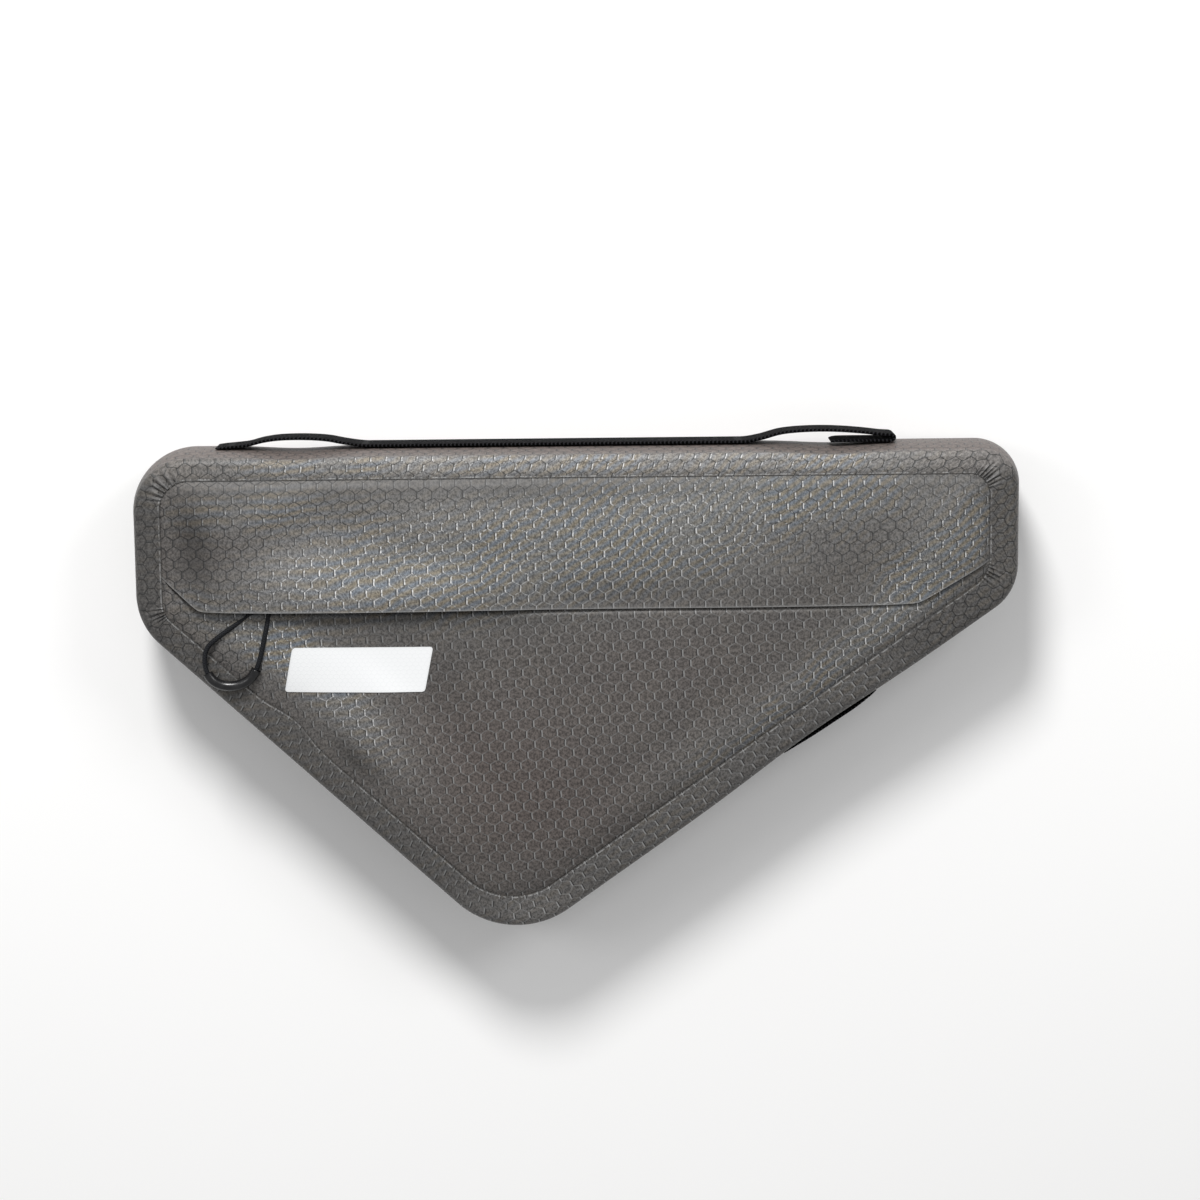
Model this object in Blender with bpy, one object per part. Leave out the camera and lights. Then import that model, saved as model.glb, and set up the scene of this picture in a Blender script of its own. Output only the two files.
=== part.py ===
"""Bicycle frame bag, a hollow coated-cloth bag that lies on its back panel.

Frame: metres. +X runs to the bag's right end, +Y to its webbed top edge and +Z out of its
front panel. The back panel lies on z = 0 and the origin is under the middle of the bag.
"""
import math

import bmesh
import bpy
import numpy as np

# Outline of the bag, seen from the front and measured on the crest of its side band
BAG_LENGTH = 0.4410
LEFT_SIDE = 0.0863          # top edge down to where the left side meets the lower left edge
RIGHT_SIDE = 0.0748         # top edge down to where the right side meets the lower right edge
EDGE_MEETING_DROP = 0.2567  # top edge down to where the two lower edges would meet
TIP_OFFSET = -0.0355        # the lowest point lies this far to the left of the middle
TOP_LEFT_RADIUS = 0.030
TOP_RIGHT_RADIUS = 0.020
LOWER_RIGHT_RADIUS = 0.028
TIP_RADIUS = 0.0465
LOWER_LEFT_RADIUS = 0.035

# Side band, a channel whose two lips show as borders on the front and on the back
BAG_DEPTH = 0.057
WALL = 0.0012
GAP = 0.0003                # clearance between pieces that lie on each other
BAND_CROWN = 0.005          # how far the middle of the band stands out past its edges
EDGE_ROUNDING = 0.0045
BORDER_TOP = 0.0134
BORDER_RIGHT = 0.0170
BORDER_LOWER_RIGHT = 0.0187
BORDER_LOWER_LEFT = 0.0160
BORDER_LEFT = 0.0160
BORDER_TOP_LEFT_RADIUS = 0.014
BORDER_TOP_RIGHT_RADIUS = 0.010
BORDER_LOWER_RIGHT_RADIUS = 0.016
BORDER_TIP_RADIUS = 0.034
BORDER_LOWER_LEFT_RADIUS = 0.012
BORDER_BOW = 0.0035         # inward bow of the lower left border's edge
BORDER_BOW_REACH = 0.018
PLEAT_DEPTH = 0.0010        # small gathers where the band turns a corner
TUCK = 0.003                # how far a panel runs on under the border

# Front panels
FRONT_CROWN = 0.0072
CROWN_RISE = 0.017          # how far in from the border the panel needs to swell
DENT_EDGE = 0.006
FLAP_DROP = 0.0775          # top edge down to the free edge of the rain flap
FLAP_LEFT_RUN = 0.020       # the free edge turns up to the border at each end
FLAP_LEFT_RISE = 0.018
FLAP_RIGHT_RUN = 0.038
FLAP_RIGHT_RISE = 0.023
FLAP_TURN_POWER = 1.1
FLAP_LIFT = 0.0050
FLAP_LIFT_REACH = 0.034
FRONT_PANEL_RISE = 0.0051   # how far the front panel reaches up behind the flap
FRONT_RAMP = 0.009          # height of the slope that takes the front panel in under the flap
FRONT_RAMP_DROP = 0.0017    # from the flap's free edge down to the end of that slope
BACK_STEP = 0.004           # width of the step from the tucked rim out to the resting face

# Zip
TAPE_WIDTH = 0.016
TAPE_THICKNESS = 0.0010
TAPE_DROP = 0.0769          # top edge down to the lower edge of the tape
TAPE_LEFT_MARGIN = 0.028    # from the bag's ends to the tape's ends
TAPE_RIGHT_MARGIN = 0.052
TAPE_COLUMNS = 24
SLIDER_WIDTH = 0.0080
SLIDER_LENGTH = 0.0090
SLIDER_THICKNESS = 0.0036
SLIDER_MARGIN = 0.0676       # from the bag's left end to the slider's middle
SLIDER_CLEARANCE = 0.0014    # from the front panel's upper edge to the slider
SLIDER_BEVEL = 0.0006
PULL_LENGTH = 0.0430        # the cord's loop, from the front panel's upper edge down
CORD_DIAMETER = 0.0024
SLEEVE_DIAMETER = 0.0050

# Trim
WEBBING_WIDTH = 0.020
WEBBING_THICKNESS = 0.0017
LEFT_LOOP_RISE = 0.0038
RIGHT_LOOP_RISE = 0.0052
CREST_DIP = 0.0014          # the band is pressed in a little under each webbing loop
CREST_DIP_REACH = 0.020
STRAP_BULGE = 0.0005
STRAP_DIP = 0.0020          # the band is pressed in under the strap
STRAP_DIP_REACH = 0.045
STRAP_DIP_SHARE = 0.40      # middle of that dip along the lower right edge
PATCH_LENGTH = 0.0695
PATCH_HEIGHT = 0.0226
PATCH_THICKNESS = 0.0005
PATCH_RADIUS = 0.0016
PATCH_LEAN = 0.20            # sideways for each unit up
PATCH_MARGIN = 0.1125        # from the bag's left end to the middle of the patch
PATCH_DROP = 0.1070          # top edge down to the middle of the patch

# Steps of the meshes
SIDE_STEPS = (24, 4, 11, 14, 4)
ARC_STEPS = (8, 8, 6, 8, 6)
PANEL_COLUMNS = 28
COLUMN_CROWDING = 0.62      # 0 spaces a panel's columns evenly, 1 crowds them at its ends
ROUNDING_STEPS = 3
BAND_STEPS = 4
PLEATS = 2
TINY = 1e-6
BOTTOM_CHORD = 0.0015       # a panel's lowest row is a short chord this far above its lowest point

# Lifted stretch of the flap's free edge. Columns: share of half the length, share of the lift
LIFT_ROWS = (
    (-0.90, 0.00),
    (-0.77, 0.62),
    (-0.66, 0.95),
    (-0.52, 1.00),
    (-0.36, 0.86),
    (-0.20, 0.50),
    (-0.05, 0.16),
    (0.10, 0.08),
    (0.80, 0.08),
    (0.90, 0.00),
)

# Dents of the front. Columns: share of half the length, share of the drop from the top edge
# to the meeting point, reach along and across as shares of the left side, share of the
# crown, turn in degrees
DENT_ROWS = (
    (-0.880, 0.205, 0.16, 0.42, 0.42, 6),
    (-0.520, 0.610, 0.46, 0.13, 0.34, -43),
    (-0.120, 0.470, 0.75, 0.30, 0.16, -8),
    (0.300, 0.200, 0.70, 0.20, 0.14, 12),
    (-0.420, 0.170, 0.60, 0.18, 0.18, -14),
    (0.800, 0.270, 0.28, 0.22, 0.18, 30),
    (-0.160, 0.800, 0.30, 0.16, 0.14, 15),
)

# Midline of the webbing. Columns: share of half the length, share of the loop's rise
WEBBING_LEFT_ROWS = (
    (-0.810, 0.00),
    (-0.775, 0.00),
    (-0.740, 0.16),
    (-0.705, 0.66),
    (-0.665, 0.96),
    (-0.610, 1.00),
    (-0.560, 0.80),
    (-0.520, 0.36),
    (-0.480, 0.04),
)
WEBBING_FLAT_ROWS = (
    (-0.440, 0.00),
    (-0.250, 0.00),
    (0.000, 0.00),
    (0.200, 0.00),
    (0.350, 0.00),
)
WEBBING_RIGHT_ROWS = (
    (0.385, 0.03),
    (0.420, 0.30),
    (0.465, 0.80),
    (0.520, 1.00),
    (0.580, 1.00),
    (0.640, 0.82),
    (0.690, 0.57),
    (0.712, 0.50),
    (0.7185, 0.25),
    (0.712, 0.00),
    (0.690, 0.00),
    (0.640, 0.00),
    (0.575, 0.00),
)
# Where the webbing's three lengths meet, as shares of half the length
LEFT_LOOP_END = -0.46
RIGHT_LOOP_START = 0.365

# Rows of the patch, as shares of its height from its middle
PATCH_ROWS = (-0.5, -0.485, -0.43, -0.2, 0.0, 0.2, 0.43, 0.485, 0.5)

# Strap on the lower right edge. Columns: share along that edge, share of the bulge
STRAP_ROWS = (
    (0.276, 0.10),
    (0.290, 0.55),
    (0.320, 1.00),
    (0.360, 0.85),
    (0.400, 0.70),
    (0.435, 0.25),
    (0.455, 0.00),
)

# Route of the zip pull's cord. Columns: along from the slider's middle and down from the front
# panel's upper edge, as shares of the pull's length; height over the borders, as a share of the
# front's crown
CORD_ROWS = (
    (-0.037, -0.002, 0.694),
    (-0.081, 0.073, 0.681),
    (-0.193, 0.156, 0.667),
    (-0.333, 0.254, 0.639),
    (-0.486, 0.363, 0.583),
    (-0.616, 0.463, 0.500),
    (-0.695, 0.549, 0.431),
    (-0.728, 0.659, 0.417),
    (-0.719, 0.794, 0.417),
    (-0.651, 0.917, 0.417),
    (-0.542, 0.980, 0.417),
    (-0.428, 0.994, 0.417),
    (-0.309, 0.970, 0.431),
    (-0.200, 0.898, 0.500),
    (-0.128, 0.784, 0.653),
    (-0.084, 0.659, 0.736),
    (-0.049, 0.514, 0.778),
    (-0.007, 0.335, 0.819),
    (0.026, 0.161, 0.764),
    (0.035, -0.002, 0.722),
)
CORD_POINTS = 24
SLEEVE_FIRST = 10           # the sleeve covers these of the cord's points
SLEEVE_LAST = 16
SLEEVE_SIDES = 10

CLOTH_GREY = (0.155, 0.150, 0.146)
PATCH_WHITE = (0.78, 0.79, 0.80)
WEBBING_BLACK = (0.018, 0.018, 0.020)
ZIP_BLACK = (0.012, 0.012, 0.013)


def clear_scene():
    """Remove every object, mesh, curve and material that is already in the file."""
    for item in list(bpy.data.objects):
        bpy.data.objects.remove(item, do_unlink=True)


def make_material(name, color, roughness, metallic=0.0):
    """A Principled material with one colour and roughness."""
    material = bpy.data.materials.new(name)
    material.use_nodes = True
    shader = material.node_tree.nodes["Principled BSDF"]
    shader.inputs["Base Color"].default_value = (*color, 1.0)
    shader.inputs["Roughness"].default_value = roughness
    shader.inputs["Metallic"].default_value = metallic
    return material


def smooth(value, low, high):
    """0 below low, 1 above high, and an even ease between them."""
    share = np.clip((value - low) / (high - low), 0.0, 1.0)
    return share * share * (3.0 - 2.0 * share)


def eased_table(rows, value):
    """Second column of a table at a value of the first, with an ease between its rows."""
    table = np.array(rows)
    result = np.full(np.shape(value), table[0, 1])
    for low, high in zip(table[:-1], table[1:]):
        result = result + (high[1] - low[1]) * smooth(value, low[0], high[0])
    return result


def smooth_curve(points, count):
    """Evenly spaced points on a Catmull-Rom curve through the given ones."""
    knots = np.array(points, dtype=float)
    first = 2 * knots[0] - knots[1]
    last = 2 * knots[-1] - knots[-2]
    padded = np.vstack([first, knots, last])
    steps = np.linspace(0.0, 1.0, 24, endpoint=False)[:, None]
    pieces = []
    for a, b, c, d in zip(padded[:-3], padded[1:-2], padded[2:-1], padded[3:]):
        cubic = -a + 3 * b - 3 * c + d
        square = 2 * a - 5 * b + 4 * c - d
        pieces.append(0.5 * (2 * b + (c - a) * steps + square * steps**2 + cubic * steps**3))
    dense = np.vstack([*pieces, knots[-1:]])
    reach = np.concatenate([[0.0], np.cumsum(np.linalg.norm(np.diff(dense, axis=0), axis=1))])
    wanted = np.linspace(0.0, reach[-1], count)
    return np.column_stack([np.interp(wanted, reach, dense[:, axis]) for axis in range(dense.shape[1])])


def inward(direction):
    """The inner side of a clockwise outline's edge."""
    return np.array([direction[1], -direction[0]])


def inset_corners(corners, insets):
    """Move each side of an outline inwards by its own inset and meet the sides again."""
    moved = []
    count = len(corners)
    for index in range(count):
        before = corners[index] - corners[index - 1]
        after = corners[(index + 1) % count] - corners[index]
        before = before / np.linalg.norm(before)
        after = after / np.linalg.norm(after)
        start = corners[index] + inward(before) * insets[index - 1]
        end = corners[index] + inward(after) * insets[index]
        along = np.linalg.solve(np.column_stack([before, -after]), end - start)[0]
        moved.append(start + before * along)
    return np.array(moved)


def rounded_loop(corners, radii):
    """Points round a clockwise outline: an arc at each corner, then its side in even steps.

    Returns the points, the side that each belongs to and its share along that side, which is
    negative on a corner's arc.
    """
    count = len(corners)
    arcs = []
    for index in range(count):
        before = corners[index] - corners[index - 1]
        after = corners[(index + 1) % count] - corners[index]
        room = 0.48 * min(np.linalg.norm(before), np.linalg.norm(after))
        before = before / np.linalg.norm(before)
        after = after / np.linalg.norm(after)
        turn = math.acos(np.clip(before @ after, -1.0, 1.0))
        radius = min(radii[index], room / math.tan(turn / 2))
        start = corners[index] - before * radius * math.tan(turn / 2)
        centre = start + inward(before) * radius
        angles = np.linspace(0.0, -turn, ARC_STEPS[index] + 1)
        spoke = start - centre
        arcs.append(np.column_stack([
            centre[0] + spoke[0] * np.cos(angles) - spoke[1] * np.sin(angles),
            centre[1] + spoke[0] * np.sin(angles) + spoke[1] * np.cos(angles),
        ]))
    points = []
    sides = []
    shares = []
    for index, arc in enumerate(arcs):
        points.extend(arc)
        sides.extend([index] * len(arc))
        shares.extend(np.linspace(-1.0, 0.0, len(arc)))
        following = arcs[(index + 1) % count][0]
        for step in range(1, SIDE_STEPS[index]):
            share = step / SIDE_STEPS[index]
            points.append(arc[-1] + (following - arc[-1]) * share)
            sides.append(index)
            shares.append(share)
    return np.array(points), np.array(sides), np.array(shares)


def sharp_corners(crest):
    """Where the five straight edges meet, clockwise from the top left."""
    half = BAG_LENGTH / 2
    return np.array([
        (-half, crest),
        (half, crest),
        (half, crest - RIGHT_SIDE),
        (TIP_OFFSET, crest - EDGE_MEETING_DROP),
        (-half, crest - LEFT_SIDE),
    ])


OUTER_RADII = (TOP_LEFT_RADIUS, TOP_RIGHT_RADIUS, LOWER_RIGHT_RADIUS, TIP_RADIUS, LOWER_LEFT_RADIUS)
BORDERS = (BORDER_TOP, BORDER_RIGHT, BORDER_LOWER_RIGHT, BORDER_LOWER_LEFT, BORDER_LEFT)
BORDER_RADII = (
    BORDER_TOP_LEFT_RADIUS,
    BORDER_TOP_RIGHT_RADIUS,
    BORDER_LOWER_RIGHT_RADIUS,
    BORDER_TIP_RADIUS,
    BORDER_LOWER_LEFT_RADIUS,
)
TOP_EDGE, RIGHT_EDGE, LOWER_RIGHT_EDGE, LOWER_LEFT_EDGE, LEFT_EDGE = range(5)
BOW_SHARE = 0.60            # the bow's place along the lower left edge, from the tip

# The bag lies with the middle of its whole height over the origin
LOWEST = rounded_loop(sharp_corners(0.0), OUTER_RADII)[0][:, 1].min()
HIGHEST = GAP + WEBBING_THICKNESS + max(LEFT_LOOP_RISE, RIGHT_LOOP_RISE)
CREST = -(LOWEST + HIGHEST) / 2
HALF_LENGTH = BAG_LENGTH / 2
FLAP_EDGE = CREST - FLAP_DROP
FLAP_ENDS = FLAP_EDGE + (FLAP_LEFT_RISE + FLAP_RIGHT_RISE) / 2
FRONT_PANEL_TOP = FLAP_EDGE + FRONT_PANEL_RISE
CORNERS = sharp_corners(CREST)
LAYER = WALL + GAP


def strap_dip(share):
    """How far the band is pressed in at a share of the lower right edge, corner to corner."""
    length = np.linalg.norm(CORNERS[LOWER_LEFT_EDGE] - CORNERS[LOWER_RIGHT_EDGE])
    return STRAP_DIP * np.exp(-((share - STRAP_DIP_SHARE) * length / STRAP_DIP_REACH) ** 2)


def outer_loop():
    """Crest of the side band, with shallow dips under the webbing loops and the strap."""
    points, sides, shares = rounded_loop(CORNERS, OUTER_RADII)
    start = CORNERS[LOWER_RIGHT_EDGE]
    edge = CORNERS[LOWER_LEFT_EDGE] - start
    along = (points - start) @ edge / (edge @ edge)
    pressed = strap_dip(along) * (sides == LOWER_RIGHT_EDGE)
    points = points + pressed[:, None] * inward(edge / np.linalg.norm(edge))
    for rows in (WEBBING_LEFT_ROWS, WEBBING_RIGHT_ROWS):
        raised = [row[0] for row in rows if row[1] > 0.5]
        middle = HALF_LENGTH * (min(raised) + max(raised)) / 2
        dip = CREST_DIP * np.exp(-((points[:, 0] - middle) / CREST_DIP_REACH) ** 2)
        points[:, 1] -= np.where(sides == TOP_EDGE, dip, 0.0)
    return points, sides, shares


def border_loop(grow=0.0, bowed=True):
    """Inner edge of the band's lips, or that line moved outwards by grow."""
    corners = inset_corners(CORNERS, [border - grow for border in BORDERS])
    points, sides, shares = rounded_loop(corners, [radius + grow for radius in BORDER_RADII])
    if bowed:
        edge = CORNERS[LEFT_EDGE] - CORNERS[LOWER_LEFT_EDGE]
        normal = inward(edge / np.linalg.norm(edge))
        away = (shares - BOW_SHARE) * np.linalg.norm(edge) / BORDER_BOW_REACH
        bow = BORDER_BOW * np.exp(-away**2) * (sides == LOWER_LEFT_EDGE) * (shares > 0)
        points = points + bow[:, None] * normal
    return points


BORDER = border_loop()
TUCKED = border_loop(grow=TUCK, bowed=False)


def span_at(loop, height):
    """Leftmost and rightmost x of a closed outline at one height."""
    height = min(max(height, loop[:, 1].min() + TINY), loop[:, 1].max() - TINY)
    following = np.roll(loop, -1, axis=0)
    crossing = (loop[:, 1] - height) * (following[:, 1] - height) <= 0
    start = loop[crossing]
    end = following[crossing]
    rise = end[:, 1] - start[:, 1]
    rise = np.where(np.abs(rise) < TINY**2, TINY**2, rise)
    share = np.clip((height - start[:, 1]) / rise, 0.0, 1.0)
    across = start[:, 0] + share * (end[:, 0] - start[:, 0])
    return across.min(), across.max()


def depth_inside(x, y):
    """Distance of each point to the borders' inner edge, and 0 outside it."""
    point = np.stack([x, y], axis=-1)[..., None, :]
    edge = np.roll(BORDER, -1, axis=0) - BORDER
    share = np.sum((point - BORDER) * edge, axis=-1) / np.sum(edge * edge, axis=-1)
    nearest = BORDER + np.clip(share, 0.0, 1.0)[..., None] * edge
    distance = np.linalg.norm(point - nearest, axis=-1).min(axis=-1)
    spans = np.array([span_at(BORDER, height) for height in np.ravel(y)]).reshape(*np.shape(y), 2)
    low, high = BORDER[:, 1].min(), BORDER[:, 1].max()
    inside = (x > spans[..., 0]) & (x < spans[..., 1]) & (y > low) & (y < high)
    return np.where(inside, distance, 0.0)


def front_height(x, y):
    """Height of the front: flat over the borders, crowned and dented inside them."""
    inside = depth_inside(x, y)
    height = FRONT_CROWN * (1.0 - np.exp(-inside / CROWN_RISE))
    for along, drop, reach_along, reach_across, depth, turn in DENT_ROWS:
        away_x = x - along * HALF_LENGTH
        away_y = y - (CREST - drop * EDGE_MEETING_DROP)
        cosine, sine = math.cos(math.radians(turn)), math.sin(math.radians(turn))
        run = (away_x * cosine + away_y * sine) / (reach_along * LEFT_SIDE)
        side = (away_y * cosine - away_x * sine) / (reach_across * LEFT_SIDE)
        dent = depth * FRONT_CROWN * np.exp(-(run**2) - side**2)
        height = height - dent * (1.0 - np.exp(-inside / DENT_EDGE))
    return BAG_DEPTH + height


def build_mesh(name, vertices, faces, material, sharp_angle=35.0):
    """One object from its vertices and faces, with its faces turned outwards."""
    mesh = bpy.data.meshes.new(name)
    mesh.from_pydata([tuple(map(float, vertex)) for vertex in vertices], [], faces)
    work = bmesh.new()
    work.from_mesh(mesh)
    bmesh.ops.recalc_face_normals(work, faces=work.faces)
    work.to_mesh(mesh)
    work.free()
    mesh.shade_smooth()
    mesh.set_sharp_from_angle(angle=math.radians(sharp_angle))
    mesh.materials.append(material)
    piece = bpy.data.objects.new(name, mesh)
    bpy.context.collection.objects.link(piece)
    return piece


def sheet_between(name, upper, lower, material):
    """Closed wall between two grids of points, upper and lower, of the same size."""
    rows, columns = upper.shape[:2]
    size = rows * columns
    number = np.arange(size).reshape(rows, columns)
    faces = []
    for row in range(rows - 1):
        for column in range(columns - 1):
            quad = [number[row, column], number[row, column + 1],
                    number[row + 1, column + 1], number[row + 1, column]]
            faces.append([int(corner) for corner in quad])
            faces.append([int(corner) + size for corner in reversed(quad)])
    rim = [*number[0, :-1], *number[:-1, -1], *number[-1, :0:-1], *number[:0:-1, 0]]
    for start, end in zip(rim, [*rim[1:], rim[0]]):
        faces.append([int(end), int(start), int(start) + size, int(end) + size])
    vertices = np.vstack([upper.reshape(size, 3), lower.reshape(size, 3)])
    return build_mesh(name, vertices, faces, material)


def ring_of_sections(name, sections, material, closed):
    """Skin over sections that each run once round; the first meets the last, or both are capped."""
    count, around = sections.shape[:2]
    faces = []
    for index in range(count if closed else count - 1):
        this = index * around
        following = ((index + 1) % count) * around
        for step in range(around):
            ahead = (step + 1) % around
            faces.append([this + step, this + ahead, following + ahead, following + step])
    if not closed:
        faces.append(list(range(around)))
        faces.append([(count - 1) * around + step for step in reversed(range(around))])
    return build_mesh(name, sections.reshape(-1, 3), faces, material)


def band_profile():
    """The band's cross-section. Columns: inset from the crest, share of the border, height."""
    inner_rounding = EDGE_ROUNDING - WALL
    half_straight = BAG_DEPTH / 2 - EDGE_ROUNDING
    turns = np.linspace(0.0, math.pi / 2, ROUNDING_STEPS + 1)
    straight = np.linspace(1.0, -1.0, BAND_STEPS + 1)[1:-1]

    def half_round(radius, front):
        """A rounded edge, from the lip over to the band."""
        inset = BAND_CROWN + EDGE_ROUNDING - radius * np.sin(turns)
        height = BAG_DEPTH - EDGE_ROUNDING + radius * np.cos(turns)
        if not front:
            height = BAG_DEPTH - height
        return [(float(a), 0.0, float(z)) for a, z in zip(inset, height)]

    outer = [(0.0, 1.0, BAG_DEPTH), *half_round(EDGE_ROUNDING, True)]
    outer += [(BAND_CROWN * q * q, 0.0, BAG_DEPTH / 2 + half_straight * q) for q in straight]
    outer += [*reversed(half_round(EDGE_ROUNDING, False)), (0.0, 1.0, 0.0)]
    inner = [(0.0, 1.0, WALL), *half_round(inner_rounding, False)]
    inner += [(BAND_CROWN * q * q + WALL, 0.0, BAG_DEPTH / 2 - half_straight * q) for q in straight]
    inner += [*reversed(half_round(inner_rounding, True)), (0.0, 1.0, BAG_DEPTH - WALL)]
    return np.array(outer + inner)


def make_gusset_band(material):
    """The channel-shaped band that runs right round the bag."""
    crest, _, shares = outer_loop()
    width = np.linalg.norm(BORDER - crest, axis=1)
    direction = (BORDER - crest) / width[:, None]
    on_corner = shares <= 0
    pleat = PLEAT_DEPTH * (1.0 - np.cos(2.0 * math.pi * PLEATS * shares)) / 2.0 * on_corner
    profile = band_profile()
    inset = profile[:, 0] + profile[:, 1] * width[:, None]
    inset = inset + pleat[:, None] * (1.0 - profile[:, 1])
    sections = np.empty((len(crest), len(profile), 3))
    sections[..., :2] = crest[:, None, :] + direction[:, None, :] * inset[..., None]
    sections[..., 2] = profile[:, 2]
    return ring_of_sections("gusset_band", sections, material, closed=True)


def row_of_columns(height, tucked, right_height=None):
    """x of each column of a row: the tucked edge, the border's edge, and steps between.

    The row's left end is at height, and its right end there too or at right_height.
    """
    right_height = height if right_height is None else right_height
    low, high = span_at(TUCKED, height)[0], span_at(TUCKED, right_height)[1]
    inner_low, inner_high = span_at(BORDER, height)[0], span_at(BORDER, right_height)[1]
    outside = height <= BORDER[:, 1].min() or height >= BORDER[:, 1].max()
    if outside and tucked:
        margin = 0.15 * (high - low)
        inner_low, inner_high = low + margin, high - margin
    shares = np.linspace(0.0, 1.0, PANEL_COLUMNS + 1)
    shares = shares - COLUMN_CROWDING * np.sin(2 * math.pi * shares) / (2 * math.pi)
    columns = inner_low + shares * (inner_high - inner_low)
    if tucked:
        columns = np.concatenate([[low], columns, [high]])
    return columns


def flap_edge_height(x):
    """Free edge of the flap, which turns up to the border at each end."""
    left, right = span_at(BORDER, FLAP_ENDS)
    into_left = np.clip((left + FLAP_LEFT_RUN - x) / FLAP_LEFT_RUN, 0.0, 1.0)
    into_right = np.clip((x - right + FLAP_RIGHT_RUN) / FLAP_RIGHT_RUN, 0.0, 1.0)
    rise = FLAP_LEFT_RISE * into_left**FLAP_TURN_POWER + FLAP_RIGHT_RISE * into_right**FLAP_TURN_POWER
    return FLAP_EDGE + rise


def make_front_panel(material):
    """Lower panel of the front, from the tip up to the zip, whose top edge follows the flap's."""
    border_low = BORDER[:, 1].min()
    ramp_high = FLAP_EDGE - FRONT_RAMP_DROP
    ramp_low = ramp_high - FRONT_RAMP
    shares = (0.0, 0.03, 0.07, 0.13, 0.21, 0.30, 0.39, 0.48, 0.57, 0.66, 0.75, 0.84, 0.92, 1.0)
    level = [TUCKED[:, 1].min() + BOTTOM_CHORD]
    level += [border_low + share * (ramp_low - border_low) for share in shares]
    rising = ((ramp_low + ramp_high) / 2, ramp_high, FRONT_PANEL_TOP)
    x = [row_of_columns(height, tucked=True) for height in level]
    y = [np.full(len(x[0]), height) for height in level]
    drop = [LAYER] * len(level)
    turn_up = flap_edge_height(row_of_columns(FLAP_ENDS, tucked=True)) - FLAP_EDGE
    for height, share in zip(rising, (0.5, 1.0, 1.0)):
        row = height + share * turn_up
        x.append(row_of_columns(row[0], tucked=True, right_height=row[-1]))
        y.append(row)
        drop.append(LAYER * (1.0 + share))
    x, y = np.array(x), np.array(y)
    top = front_height(x, y) - np.array(drop)[:, None]
    return sheet_between(
        "front_panel", np.dstack([x, y, top]), np.dstack([x, y, top - WALL]), material)


def flap_lift(x, y, edge):
    """How far the flap stands off the front panel."""
    lift = FLAP_LIFT * eased_table(LIFT_ROWS, x / HALF_LENGTH)
    return lift * (1.0 - smooth(y, edge, edge + FLAP_LIFT_REACH))


def make_rain_flap(material):
    """Upper panel of the front, whose free lower edge covers the zip."""
    border_top = BORDER[:, 1].max()
    shares = (0.0, 0.08, 0.20, 0.36, 0.54, 0.72, 0.87, 1.0)
    edge = flap_edge_height(row_of_columns(FLAP_ENDS, tucked=True))
    x = [row_of_columns(FLAP_ENDS + share * (border_top - FLAP_ENDS), tucked=True) for share in shares]
    y = [edge + share * (border_top - edge) for share in shares]
    x = np.array([*x, row_of_columns(TUCKED[:, 1].max(), tucked=True)])
    y = np.array([*y, np.full(len(edge), TUCKED[:, 1].max())])
    upper = front_height(x, y) - LAYER + flap_lift(x, y, edge)
    return sheet_between(
        "rain_flap", np.dstack([x, y, upper]), np.dstack([x, y, upper - WALL]), material)


def tape_top(x, y):
    """Top of the zip's tape, which lies close behind the front panel's upper edge."""
    return front_height(x, y) - 2 * LAYER - WALL - 2 * GAP


def make_zip_tape(material):
    """Plain strip behind the zip, which closes the slot between the front panel and the flap."""
    low = CREST - TAPE_DROP
    across = np.linspace(TAPE_LEFT_MARGIN - HALF_LENGTH, HALF_LENGTH - TAPE_RIGHT_MARGIN, TAPE_COLUMNS)
    x, y = np.meshgrid(across, (low, FRONT_PANEL_TOP, low + TAPE_WIDTH))
    top = tape_top(x, y)
    return sheet_between(
        "zip_tape", np.dstack([x, y, top]), np.dstack([x, y, top - TAPE_THICKNESS]), material)


def make_back_panel(material):
    """Plain panel of the back: tucked inside the border, then stepped out to lie on z = 0."""
    stepped = border_loop(grow=-BACK_STEP)
    sections = np.empty((len(BORDER), 6, 3))
    rings = (
        (stepped, WALL),
        (BORDER, LAYER + WALL),
        (TUCKED, LAYER + WALL),
        (TUCKED, LAYER),
        (BORDER, LAYER),
        (stepped, 0.0),
    )
    for index, (loop, height) in enumerate(rings):
        sections[:, index, :2] = loop
        sections[:, index, 2] = height
    count, around = sections.shape[:2]
    faces = []
    for index in range(count):
        this = index * around
        following = ((index + 1) % count) * around
        for step in range(around - 1):
            faces.append([this + step, this + step + 1, following + step + 1, following + step])
    faces.append([index * around for index in range(count)])
    faces.append([index * around + around - 1 for index in reversed(range(count))])
    return build_mesh("back_panel", sections.reshape(-1, 3), faces, material)


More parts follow.
